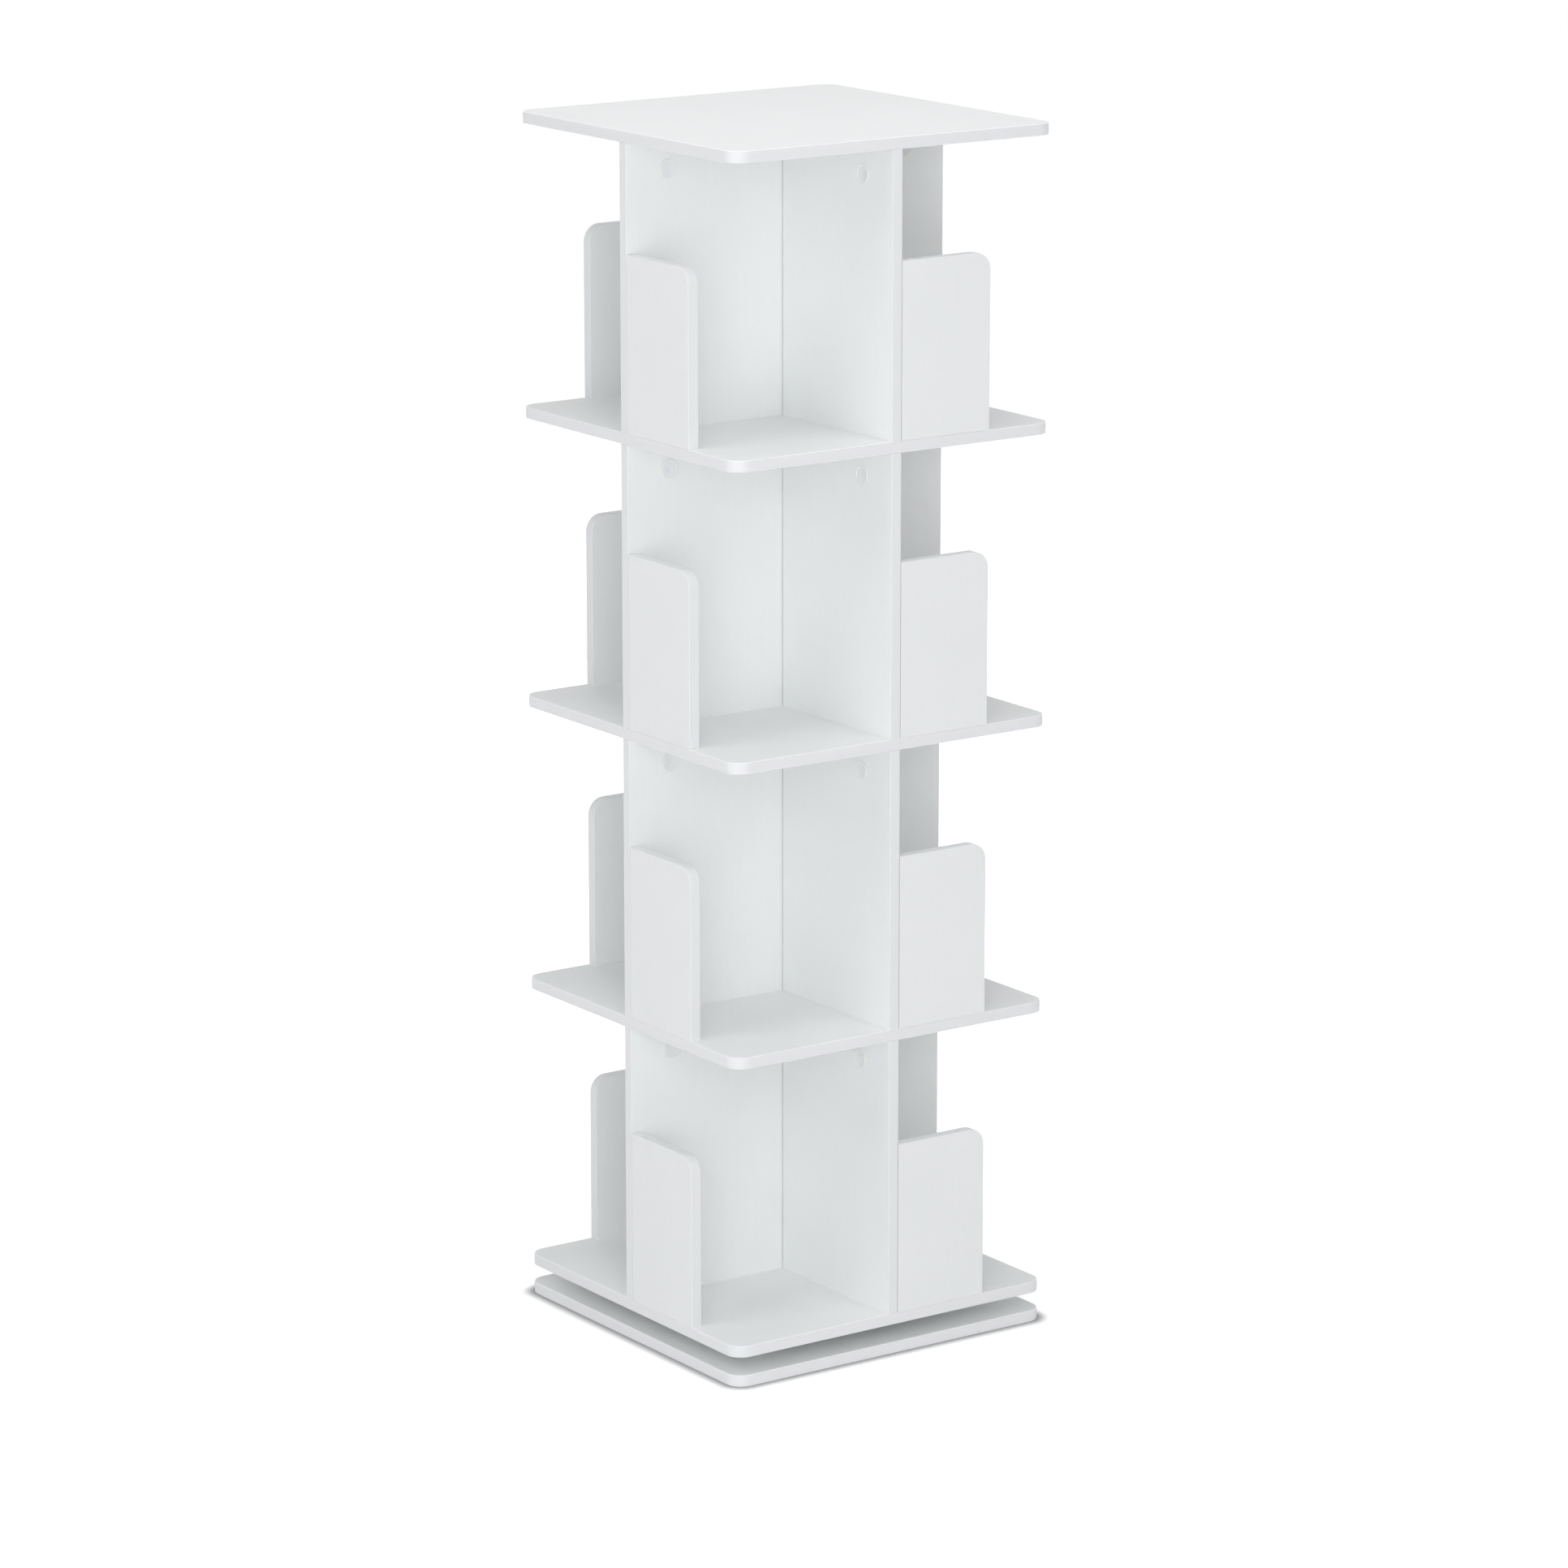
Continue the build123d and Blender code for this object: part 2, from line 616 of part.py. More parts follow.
def every_tier(shapes):
    """Copies shapes made on one tier's floor to every tier."""
    return [Pos(0, 0, floor) * shape for floor in TIER_FLOORS for shape in shapes]


def every_arm(shapes):
    """Copies shapes made on the arm along +X to every arm of every tier."""
    return every_tier([on_arm(angle, shape) for angle in ARMS for shape in shapes])


# Base and turntable
on_base = Pos(0, 0, BOARD)
save("base_plate", base_plate())
save("base_edge_band", plate_band())
save("lower_bearing_plate", on_base * bearing_plate())
save("upper_bearing_plate", on_base * upper_bearing_plate())
save("ball_cage", on_base * ball_cage())
save("bearing_balls", [on_base * ball for ball in bearing_balls()])
save("pivot_rivet", on_base * pivot_rivet())
save("pivot_washer", on_base * pivot_washer())
save("base_screws", [on_base * screw for screw in base_screws()])
save("weld_nuts", [on_base * nut for nut in weld_nuts()])
save("shelf_screws", [on_base * screw for screw in shelf_screws()])

# Plates, from the lowest shelf to the top
PLATE_HEIGHTS = [floor - BOARD for floor in TIER_FLOORS]
TOP_HEIGHT = TIER_FLOORS[-1] + TIER_CLEAR
shelves = [lowest_shelf()] + [middle_shelf() for tier in TIERS[1:]]
for tier in TIERS:
    save(f"shelf_{tier + 1}", Pos(0, 0, PLATE_HEIGHTS[tier]) * shelves[tier])
save("shelf_edge_bands", [Pos(0, 0, height) * plate_band() for height in PLATE_HEIGHTS])
save("top_panel", Pos(0, 0, TOP_HEIGHT) * top_panel())
save("top_edge_band", Pos(0, 0, TOP_HEIGHT) * plate_band())

# Dividers and stops of each tier
wide = wide_divider()
halves = {side: half_divider(angle) for side, angle in HALF_ARMS.items()}
stop = stop_panel()
for tier in TIERS:
    lift = Pos(0, 0, TIER_FLOORS[tier])
    save(f"wide_divider_{tier + 1}", lift * wide)
    for side in HALF_ARMS:
        save(f"{side}_divider_{tier + 1}", lift * halves[side])
    for side, angle in zip(STOP_NAMES, ARMS):
        save(f"{side}_stop_{tier + 1}", lift * on_arm(angle, stop))
save("divider_edge_bands", every_arm([divider_band()]))
save("stop_edge_bands", every_arm([stop_band()]))

# Fasteners of the boards
save("divider_screws", every_arm(divider_screws()))
save("stop_screws", every_arm(stop_screws()))
save("top_dowels", every_arm([top_dowel()]))
save("stop_dowels", every_arm([stop_dowel()]))
save("cross_dowels", every_tier(cross_dowels()))
save("cam_bolts", every_arm([cam_bolt()]))
save("cam_locks", every_tier([on_arm(angle, cam_lock(CAM_FACES[angle])) for angle in ARMS]))
save("cam_caps", every_tier([on_arm(angle, cam_cap(CAM_FACES[angle])) for angle in ARMS]))
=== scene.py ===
# %% [markdown]
# Revolving bookcase in white laminated board.
#
# The solids of the bookcase come in as a fixed frame: 56 nodes on three bodies, a base, a ring of balls and
# the carousel that turns on them. This lesson gives every node its finish, models the small fittings again
# where a finer shape pays, and sets up a pale studio. The frame is loaded first, because every piece that is
# made later takes its place from it, and the box of the solids is kept: the half width of the plates is read
# from it.

# %% Load the frame
from math import atan2, ceil, cos, pi, radians, sin, tan

import bmesh
import bpy
from mathutils import Color, Matrix, Vector


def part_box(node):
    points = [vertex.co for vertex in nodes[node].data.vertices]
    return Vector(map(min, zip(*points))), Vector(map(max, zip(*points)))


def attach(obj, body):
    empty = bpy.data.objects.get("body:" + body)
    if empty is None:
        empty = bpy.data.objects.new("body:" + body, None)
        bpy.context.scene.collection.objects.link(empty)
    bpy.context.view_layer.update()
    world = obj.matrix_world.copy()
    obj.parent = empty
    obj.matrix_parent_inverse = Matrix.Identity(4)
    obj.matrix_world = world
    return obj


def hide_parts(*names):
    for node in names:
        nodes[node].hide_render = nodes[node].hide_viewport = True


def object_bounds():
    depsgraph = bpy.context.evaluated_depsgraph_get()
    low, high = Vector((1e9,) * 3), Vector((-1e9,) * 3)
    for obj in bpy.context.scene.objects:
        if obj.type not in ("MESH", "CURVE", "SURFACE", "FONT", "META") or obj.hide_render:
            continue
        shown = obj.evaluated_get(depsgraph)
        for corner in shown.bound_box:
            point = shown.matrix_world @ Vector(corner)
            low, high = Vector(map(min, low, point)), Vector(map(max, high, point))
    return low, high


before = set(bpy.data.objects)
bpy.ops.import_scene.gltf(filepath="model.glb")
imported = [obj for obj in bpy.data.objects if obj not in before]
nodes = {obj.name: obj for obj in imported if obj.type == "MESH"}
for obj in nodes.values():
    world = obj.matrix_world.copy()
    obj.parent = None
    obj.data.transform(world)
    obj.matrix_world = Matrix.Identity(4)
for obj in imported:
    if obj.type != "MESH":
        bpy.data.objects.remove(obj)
cad_low, cad_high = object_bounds()
MM = 0.001
print("box of the solids, m:", [round(side, 4) for side in cad_high - cad_low])

# %% [markdown]
# The camera.
#
# The bookcase was photographed from the front corner, a little above its top, with a long lens from about
# six metres. One could let a helper frame the object, but it would guess the distance, and the distance is
# what decides how much more of the lowest shelf shows than of the top panel. So the camera is placed from
# its own sizes: it aims at a point on the spin axis, from an azimuth, a level distance and a pitch.

# %% Place the camera
VIEW_AZIMUTH = radians(-34.96)
VIEW_PITCH = radians(13.56)
VIEW_DISTANCE = 6.087
AIM_HEIGHT = 0.564
LENS_MM = 139.2
SENSOR_MM = 36.0
CAMERA_REACH = 200.0

camera_data = bpy.data.cameras.new("studio_camera")
camera_data.lens = LENS_MM
camera_data.sensor_width = SENSOR_MM
camera_data.clip_end = CAMERA_REACH
camera = bpy.data.objects.new("studio_camera", camera_data)
camera.location = (
    VIEW_DISTANCE * sin(VIEW_AZIMUTH),
    -VIEW_DISTANCE * cos(VIEW_AZIMUTH),
    AIM_HEIGHT + VIEW_DISTANCE * tan(VIEW_PITCH),
)
camera.rotation_euler = (pi / 2 - VIEW_PITCH, 0.0, VIEW_AZIMUTH)
bpy.context.scene.collection.objects.link(camera)
bpy.context.scene.camera = camera
bpy.context.scene.view_settings.view_transform = "Standard"
print("camera at", [round(value, 3) for value in camera.location])

# %% [markdown]
# Shader sums.
#
# Every finish here is a handful of noises that are scaled, added and mixed. Placing the nodes one by one
# buries that arithmetic under links, so one small class wraps an output socket and lets it stand in Python
# sums: each plus or times adds its Math node. A second class holds one node tree, and its method `node`
# makes any other node from a type, its settings and its sockets.

# %% A wire
class Wire:
    """One output socket that can be used in arithmetic."""

    def __init__(self, wiring, socket):
        self.wiring = wiring
        self.socket = socket

    def __add__(self, other):
        return self.wiring.math("ADD", self, other)

    def __sub__(self, other):
        return self.wiring.math("SUBTRACT", self, other)

    def __rsub__(self, other):
        return self.wiring.math("SUBTRACT", other, self)

    def __mul__(self, other):
        return self.wiring.math("MULTIPLY", self, other)

    def __abs__(self):
        return self.wiring.math("ABSOLUTE", self)

    __radd__ = __add__
    __rmul__ = __mul__


print("a wire can be added, taken away, multiplied and made positive")

# %% The tree that wires run in
MIX_COLOUR_SOCKETS = (0, 6, 7)
MIX_COLOUR_OUTPUT = 2


class Wiring:
    """A node tree and the short words that fill it."""

    def __init__(self, tree):
        self.tree = tree
        self.tree.nodes.clear()

    def node(self, kind, settings=None, sockets=None, output=0):
        """Adds any node: its settings first, then the values or links of its sockets."""
        made = self.tree.nodes.new(kind)
        for name, value in (settings or {}).items():
            setattr(made, name, value)
        for name, value in (sockets or {}).items():
            if isinstance(value, Wire):
                self.tree.links.new(value.socket, made.inputs[name])
            else:
                made.inputs[name].default_value = value
        return Wire(self, made.outputs[output]) if made.outputs else made

    def math(self, operation, *values):
        """A sum on numbers or wires."""
        return self.node("ShaderNodeMath", {"operation": operation}, dict(enumerate(values)))

    def mix(self, factor, first, second):
        """Blends two colours."""
        sockets = dict(zip(MIX_COLOUR_SOCKETS, (factor, first, second)))
        return self.node("ShaderNodeMix", {"data_type": "RGBA"}, sockets, MIX_COLOUR_OUTPUT)

    def place(self):
        """The point on the piece, in metres, as the solids are laid out."""
        return self.node("ShaderNodeTexCoord", output="Object")

    def axes(self):
        """That point's X, Y and Z, each as a wire."""
        split = self.node("ShaderNodeSeparateXYZ", sockets={"Vector": self.place()})
        return [Wire(self, socket) for socket in split.socket.node.outputs]

    def noise(self, per_metre, detail=2.0, roughness=0.5):
        """Noise with its own number of grains per metre along X, Y and Z."""
        scaled = self.node(
            "ShaderNodeMapping", {"vector_type": "POINT"}, {"Vector": self.place(), "Scale": per_metre}
        )
        return self.node(
            "ShaderNodeTexNoise",
            {"noise_dimensions": "3D"},
            {"Vector": scaled, "Scale": 1.0, "Detail": detail, "Roughness": roughness},
            "Fac",
        )

    def smooth_step(self, value, low, high):
        """0 below low, 1 above high, and a smooth step between."""
        return self.node(
            "ShaderNodeMapRange",
            {"interpolation_type": "SMOOTHSTEP", "clamp": True},
            {"Value": value, "From Min": low, "From Max": high},
        )

    def bump(self, height, depth, strength):
        """A normal from a height between 0 and 1 that stands for this depth in metres."""
        sockets = {"Height": height, "Distance": depth, "Strength": strength}
        return self.node("ShaderNodeBump", sockets=sockets, output="Normal")


print("a tree makes nodes, sums, mixes, noises, steps and bumps")

# %% Colours and finishes
SCREEN_WHITE = 255


def srgb(*screen):
    """A colour named by its 8-bit screen values, as the linear colour that a socket takes."""
    colour = Color([value / SCREEN_WHITE for value in screen])
    return (*colour.from_srgb_to_scene_linear(), 1.0)


def finish_of(name, dress, constants=None):
    """A material: dress fills the changing sockets, and constants are set on the shader itself."""
    material = bpy.data.materials.new(name)
    material.use_nodes = True
    wiring = Wiring(material.node_tree)
    shader = wiring.node("ShaderNodeBsdfPrincipled", sockets={**(constants or {}), **dress(wiring)})
    wiring.node("ShaderNodeOutputMaterial", sockets={"Surface": shader})
    return material


def coat(material, *names):
    """Puts a finish on nodes of the frame, through their own material slots."""
    for name in names:
        for slot in nodes[name].material_slots:
            slot.material = material


print("mid grey as a socket takes it:", round(srgb(128, 128, 128)[0], 3))

# %% [markdown]
# The dome.
#
# A white piece on a white ground needs soft light from all round, or its edges vanish. Lamps alone could give
# it, but they leave the deepest corners black, so a pale dome stands over the piece and fills them. What the
# camera and mirrors see of the dome is plain white, while the light that it throws is weaker, so the boards
# keep their tone. Light goes to and fro between white boards, and so the number of bounces is raised.

# %% Dome
DOME_LIGHT = 0.2
DOME_TINT = (0.985, 0.995, 1.0, 1.0)
WHITE = (1.0, 1.0, 1.0, 1.0)
WHITE_BOUNCES = 14


def seen_directly(wiring):
    """1 for rays that carry the picture: from the camera, off a mirror or through glass."""
    path = wiring.node("ShaderNodeLightPath").socket.node.outputs
    rays = [Wire(wiring, path[name]) for name in ("Is Camera Ray", "Is Glossy Ray", "Is Transmission Ray")]
    return wiring.math("MINIMUM", rays[0] + rays[1] + rays[2], 1.0)


world = bpy.data.worlds.new("studio_dome")
world.use_nodes = True
bpy.context.scene.world = world
sky = Wiring(world.node_tree)
thrown = sky.node("ShaderNodeBackground", sockets={"Color": DOME_TINT, "Strength": DOME_LIGHT})
shown = sky.node("ShaderNodeBackground", sockets={"Color": WHITE, "Strength": 1.0})
either = sky.node("ShaderNodeMixShader", sockets={0: seen_directly(sky), 1: thrown, 2: shown})
sky.node("ShaderNodeOutputWorld", sockets={"Surface": either})
bpy.context.scene.cycles.max_bounces = WHITE_BOUNCES
bpy.context.scene.cycles.diffuse_bounces = WHITE_BOUNCES
print("dome light:", DOME_LIGHT, "bounces between white boards:", WHITE_BOUNCES)

# %% [markdown]
# The floor.
#
# The bookcase stands on a white floor that runs into a white background, with a soft dark line of shadow
# round its base. The floor could be lit until it is white, but so much light would clip the boards. So it is
# a plain matt paint, and what the camera and mirrors see of it is lifted to white by a glow that grows with
# the distance from the base. Under wide lamps the shadow at the base is too faint, so close to the base they
# see a darker paint. The light that the boards get from the floor is that of the plain paint.

# %% Floor
FLOOR_RADIUS = 60.0
FLOOR_SIDES = 96

floor_mesh = bpy.data.meshes.new("studio_floor")
bm = bmesh.new()
bmesh.ops.create_circle(bm, cap_ends=True, segments=FLOOR_SIDES, radius=FLOOR_RADIUS)
bm.to_mesh(floor_mesh)
bm.free()
floor = bpy.data.objects.new("studio_floor", floor_mesh)
bpy.context.scene.collection.objects.link(floor)
print("floor radius, m:", FLOOR_RADIUS)

# %% Floor paint
PLATE_HALF = cad_high.x
PLATE_CORNER = 18.0 * MM
BLACK = (0.0, 0.0, 0.0, 1.0)
FLOOR_PAINT = srgb(242, 242, 242)
FLOOR_SHADE = srgb(139, 139, 139)
SHADE_INSIDE = 6.0 * MM
SHADE_OUTSIDE = 16.0 * MM
LIFT_NEAR = 0.42
LIFT_FAR = 0.4
CONTACT_SHADOW = 18.0 * MM
POOL_OF_LIGHT = 1.4


def edge_depth(wiring):
    """How far a point lies inside the plan of the plates, a square with rounded corners."""
    x, y, _ = wiring.axes()
    inner = PLATE_HALF - PLATE_CORNER
    over_x = wiring.math("MAXIMUM", abs(x) - inner, 0.0)
    over_y = wiring.math("MAXIMUM", abs(y) - inner, 0.0)
    return PLATE_CORNER - wiring.math("SQRT", over_x * over_x + over_y * over_y)


floor_paint = bpy.data.materials.new("floor_paint")
floor_paint.use_nodes = True
ground = Wiring(floor_paint.node_tree)
away = 0.0 - edge_depth(ground)
seen = seen_directly(ground)
shade = (1.0 - ground.smooth_step(away, -SHADE_INSIDE, SHADE_OUTSIDE)) * seen
paint = ground.mix(shade, FLOOR_PAINT, FLOOR_SHADE)
matt = ground.node("ShaderNodeBsdfDiffuse", sockets={"Color": paint})
near = LIFT_NEAR * ground.smooth_step(away, 0.0, CONTACT_SHADOW)
far = LIFT_FAR * ground.smooth_step(away, CONTACT_SHADOW, POOL_OF_LIGHT)
glow = ground.mix((near + far) * seen, BLACK, WHITE)
lift = ground.node("ShaderNodeEmission", sockets={"Color": glow, "Strength": 1.0})
both = ground.node("ShaderNodeAddShader", sockets={0: matt, 1: lift})
ground.node("ShaderNodeOutputMaterial", sockets={"Surface": both})
floor_mesh.materials.append(floor_paint)
print("shadow round the base, mm:", round(SHADE_OUTSIDE / MM, 1))

# %% [markdown]
# The lamps.
#
# A studio lights a white piece through large sheets of cloth, whose shadows have no edge. The dome could
# carry all the light, but separate lamps can be set one by one: the light falls mostly from the front
# corner and from above, and two lamps behind keep the back from going dark when it is looked at. Neither
# the camera nor a mirror sees the lamps, because the top panel would show them as white patches.

# %% Softboxes
LAMP_AIM = Vector((0.0, 0.0, 0.65))
COOL_WHITE = (0.982, 0.99, 1.0)


def softbox(name, azimuth, distance, height, side, watts):
    """A square lamp that looks at the bookcase; azimuth 0 stands in front, on -Y."""
    data = bpy.data.lights.new(name, "AREA")
    data.shape = "SQUARE"
    data.size = side
    data.energy = watts
    data.color = COOL_WHITE
    lamp = bpy.data.objects.new(name, data)
    angle = radians(azimuth)
    lamp.location = (distance * sin(angle), -distance * cos(angle), height)
    lamp.rotation_euler = (LAMP_AIM - lamp.location).to_track_quat("-Z", "Y").to_euler()
    lamp.visible_camera = False
    lamp.visible_glossy = False
    bpy.context.scene.collection.objects.link(lamp)
    print(name, "at", [round(value, 2) for value in lamp.location], "m,", watts, "W")


softbox("front_softbox", azimuth=-35.0, distance=4.2, height=1.2, side=2.4, watts=67.0)
softbox("front_high_softbox", azimuth=-35.0, distance=3.4, height=3.2, side=2.4, watts=18.0)
softbox("left_high_softbox", azimuth=-90.0, distance=3.4, height=3.2, side=2.4, watts=30.0)
softbox("right_high_softbox", azimuth=20.0, distance=3.4, height=3.2, side=2.4, watts=20.0)
softbox("left_low_softbox", azimuth=-95.0, distance=4.2, height=1.2, side=2.0, watts=10.0)
softbox("overhead_softbox", azimuth=-20.0, distance=0.4, height=3.8, side=2.0, watts=37.0)
softbox("right_back_softbox", azimuth=95.0, distance=4.2, height=1.4, side=2.4, watts=38.0)
softbox("left_back_softbox", azimuth=175.0, distance=4.2, height=1.4, side=2.4, watts=49.0)

# %% [markdown]
# White laminate.
#
# Every board is chipboard pressed between two papers that were soaked in melamine resin and printed white.
# The press plate leaves a fine grain in the skin, a few hundredths of a millimetre deep, along the board. An
# image of a board could be wrapped on, but a stretched noise gives the same grain at any distance. The skin
# is a fraction of a millimetre thick, so whatever lies deeper than that between the two faces, such as the
# wall of a hole, shows the brown chips of the core. Only the end of a stop that meets its divider is white
# as well, because a brown end would show as a dark line in the seam.

# %% Laminate finish
LAMINATE = srgb(241, 242, 242)
LAMINATE_SHADE = srgb(229, 231, 230)
CHIP_PALE = srgb(196, 168, 128)
CHIP_DARK = srgb(128, 98, 66)
BOARD = 12.0 * MM
SKIN = 0.15 * MM
SKIN_FADE = 0.03 * MM
GRAIN_ACROSS = 620.0
GRAIN_ALONG = 16.0
GRAIN_TINT = 0.35
GRAIN_DEPTH = 0.05 * MM
GRAIN_HEIGHT = 0.7
GRAIN_ROUGH = 0.12
PORE_ACROSS = 2600.0
PORE_ALONG = 140.0
PORE_STEP = (0.58, 0.74)
PORE_TINT = 0.4
PORE_HEIGHT = 0.3
PORE_ROUGH = 0.1
CLOUDS = 9.0
CLOUD_TINT = 0.35
CHIPS = 420.0
CHIP_STEP = (0.38, 0.62)
CHIP_ROUGH = 0.3
LAMINATE_ROUGH = 0.44
LAMINATE_RELIEF = 0.55
LAMINATE_SHINE = 0.3


def stretched(axis, across, along):
    """Grains per metre that are long on one axis, 0 to 2, and fine on the other two."""
    return [along if index == axis else across for index in range(3)]


def laminate(name, grain_axis, face_axis, middle, sealed=None):
    """White melamine on chipboard: face_axis is square to the board, whose mid-plane lies at middle.

    An end that was painted white is given as sealed: its axis and its distance from the spin axis.
    """

    def dress(wiring):
        grain = wiring.noise(stretched(grain_axis, GRAIN_ACROSS, GRAIN_ALONG), detail=3.0, roughness=0.6)
        pores = wiring.smooth_step(wiring.noise(stretched(grain_axis, PORE_ACROSS, PORE_ALONG)), *PORE_STEP)
        clouds = wiring.noise((CLOUDS, CLOUDS, CLOUDS))
        tint = GRAIN_TINT * grain + CLOUD_TINT * clouds + PORE_TINT * pores
        white = wiring.mix(tint, LAMINATE, LAMINATE_SHADE)
        chips = wiring.noise((CHIPS, CHIPS, CHIPS), detail=4.0, roughness=0.65)
        chip = wiring.mix(wiring.smooth_step(chips, *CHIP_STEP), CHIP_DARK, CHIP_PALE)
        depth = BOARD / 2 - abs(wiring.axes()[face_axis] - middle)
        core = wiring.smooth_step(depth, SKIN - SKIN_FADE, SKIN)
        if sealed:
            axis, end = sealed
            core = core * wiring.smooth_step(abs(wiring.axes()[axis]), end + SKIN, end + 2 * SKIN)
        height = GRAIN_HEIGHT * grain - PORE_HEIGHT * pores + chips * core
        return {
            "Base Color": wiring.mix(core, white, chip),
            "Roughness": LAMINATE_ROUGH + GRAIN_ROUGH * grain + PORE_ROUGH * pores + CHIP_ROUGH * core,
            "Normal": wiring.bump(height, GRAIN_DEPTH, LAMINATE_RELIEF),
        }

    return finish_of(name, dress, {"Specular IOR Level": LAMINATE_SHINE})


print("grains per metre across a board:", GRAIN_ACROSS, "and along it:", GRAIN_ALONG)

# %% Laminate on the boards
TIERS = (1, 2, 3, 4)
X, Y, Z = 0, 1, 2


def middle_of(name, axis):
    """The mid-plane of a board on one axis."""
    low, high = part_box(name)
    return (low[axis] + high[axis]) / 2


plates = ["base_plate", *(f"shelf_{tier}" for tier in TIERS), "top_panel"]
for name in plates:
    coat(laminate(f"laminate_{name}", X, Z, middle_of(name, Z)), name)
divider_faces = {"wide_divider": Y, "back_divider": X, "front_divider": X}
for family, face in divider_faces.items():
    names = [f"{family}_{tier}" for tier in TIERS]
    coat(laminate(f"laminate_{family}", Z, face, middle_of(names[0], face)), *names)
stop_faces = {"right_stop": X, "left_stop": X, "back_stop": Y, "front_stop": Y}
for family, face in stop_faces.items():
    names = [f"{family}_{tier}" for tier in TIERS]
    along = Y if face == X else X
    sealed = (along, min(abs(corner[along]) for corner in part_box(names[0])))
    coat(laminate(f"laminate_{family}", Z, face, middle_of(names[0], face), sealed), *names)
print("laminated boards:", len(plates) + (len(divider_faces) + len(stop_faces)) * len(TIERS))

# %% [markdown]
# Edge bands.
#
# The edges that show are covered by a strip of white plastic, glued on, trimmed flush and scraped to a round
# arris. It is smoother than the laminate and a little cooler in tone. The strip was drawn through a die, so
# it has faint lines along its length: level ones round a plate, upright ones on a divider or a stop. The
# arris is smoother than the rest, and a painted highlight makes its colour whiter, as if it caught the light.
# A hair of glue shows where the strip meets the board. Where a stop is pressed against its divider, the
# arris is painted darker in the glue's colour: a painted shade in the seam. Arris and glue could be painted
# by hand on a UV map, but here two distances find them: from the middle line of the strip, and from the
# edge of the plates' rounded square.

# %% Edge band finish
BAND = srgb(234, 235, 236)
BAND_SHADE = srgb(229, 230, 232)
# The colour of the painted highlight on the arris.
ARRIS_HIGHLIGHT = srgb(247, 247, 247)
# Glue, and also the colour of the painted shade in a stop's seam.
GLUE_AND_SEAM_SHADE = srgb(206, 204, 196)
BAND_THICK = 1.0 * MM
ARRIS = 0.8 * MM
GLUE_WIDTH = 0.08 * MM
GLUE_TINT = 0.7
GLUE_ROUGH = 0.2
# How far the painted shade in a seam reaches in from the side of the strip.
SEAM_SHADE_WIDTH = 0.45 * MM
DRAWN_TINT = 0.6
DRAWN_ROUGH = 0.1
PEEL = 360.0
PEEL_TINT = 0.4
PEEL_HEIGHT = 0.5
BAND_DEPTH = 0.02 * MM
BAND_RELIEF = 0.3
BAND_ROUGH = 0.44
ARRIS_SMOOTH = 0.16


def edge_band(name, per_metre, from_middle, highlight, seam_shade_mask=None):
    """White plastic strip whose arris carries a painted highlight, stronger or weaker.

    from_middle gives the distance from the strip's middle line, and the last argument is 1 where a stop meets
    the arris: there the seam is painted with shade.
    """
    side = BOARD / 2

    def dress(wiring):
        drawn = wiring.noise(per_metre)
        peel = wiring.noise((PEEL, PEEL, PEEL))
        depth = edge_depth(wiring)
        reached = wiring.smooth_step(depth, BAND_THICK - 2 * GLUE_WIDTH, BAND_THICK - GLUE_WIDTH)
        passed = wiring.smooth_step(depth, BAND_THICK, BAND_THICK + GLUE_WIDTH)
        glue_and_shade = GLUE_TINT * (reached - passed)
        aside = from_middle(wiring)
        # Where a stop meets the arris, the arris is painted in the glue's colour: painted shade in the seam.
        if seam_shade_mask:
            seam_shade = wiring.smooth_step(aside, side - SEAM_SHADE_WIDTH, side - SEAM_SHADE_WIDTH / 2)
            glue_and_shade = wiring.math("MAXIMUM", glue_and_shade, seam_shade * seam_shade_mask(wiring))
        # The arris is painted whiter: a painted highlight, kept off the glue line.
        near_arris = wiring.smooth_step(aside, side - ARRIS, side - ARRIS / 3)
        painted_highlight = highlight * near_arris * (1.0 - reached)
        white = wiring.mix(DRAWN_TINT * drawn + PEEL_TINT * peel, BAND, BAND_SHADE)
        return {
            "Base Color": wiring.mix(glue_and_shade, wiring.mix(painted_highlight, white, ARRIS_HIGHLIGHT), GLUE_AND_SEAM_SHADE),
            "Roughness": BAND_ROUGH + DRAWN_ROUGH * drawn + GLUE_ROUGH * glue_and_shade - ARRIS_SMOOTH * painted_highlight,
            "Normal": wiring.bump(drawn + PEEL_HEIGHT * peel, BAND_DEPTH, BAND_RELIEF),
        }

    return finish_of(name, dress)


print("edge band, mm:", round(BAND_THICK / MM, 1), "arris:", round(ARRIS / MM, 1))

# %% Edge bands on the plates
# How strong the painted highlight on a plate's arris is.
PLATE_HIGHLIGHT = 1.0
DRAWN_ACROSS = 1800.0
DRAWN_ALONG = 6.0

shelf_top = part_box("shelf_1")[1].z
tier_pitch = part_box("shelf_2")[1].z - shelf_top


def level_strip(name, node):
    """A band round a plate, or round plates that repeat from tier to tier."""
    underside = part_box(node)[0].z

    def from_middle(wiring):
        height = wiring.math("MODULO", wiring.axes()[Z] - underside, tier_pitch)
        return abs(height - BOARD / 2)

    coat(edge_band(name, (DRAWN_ALONG, DRAWN_ALONG, DRAWN_ACROSS), from_middle, PLATE_HIGHLIGHT), node)


level_strip("base_band", "base_edge_band")
level_strip("shelf_band", "shelf_edge_bands")
level_strip("top_band", "top_edge_band")
print("tiers every", round(tier_pitch / MM, 1), "mm")

# %% Edge bands on the dividers and stops
# How strong the painted highlight on the arris of a divider or stop is.
UPRIGHT_HIGHLIGHT = 0.25

stop_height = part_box("front_stop_1")[1].z - shelf_top


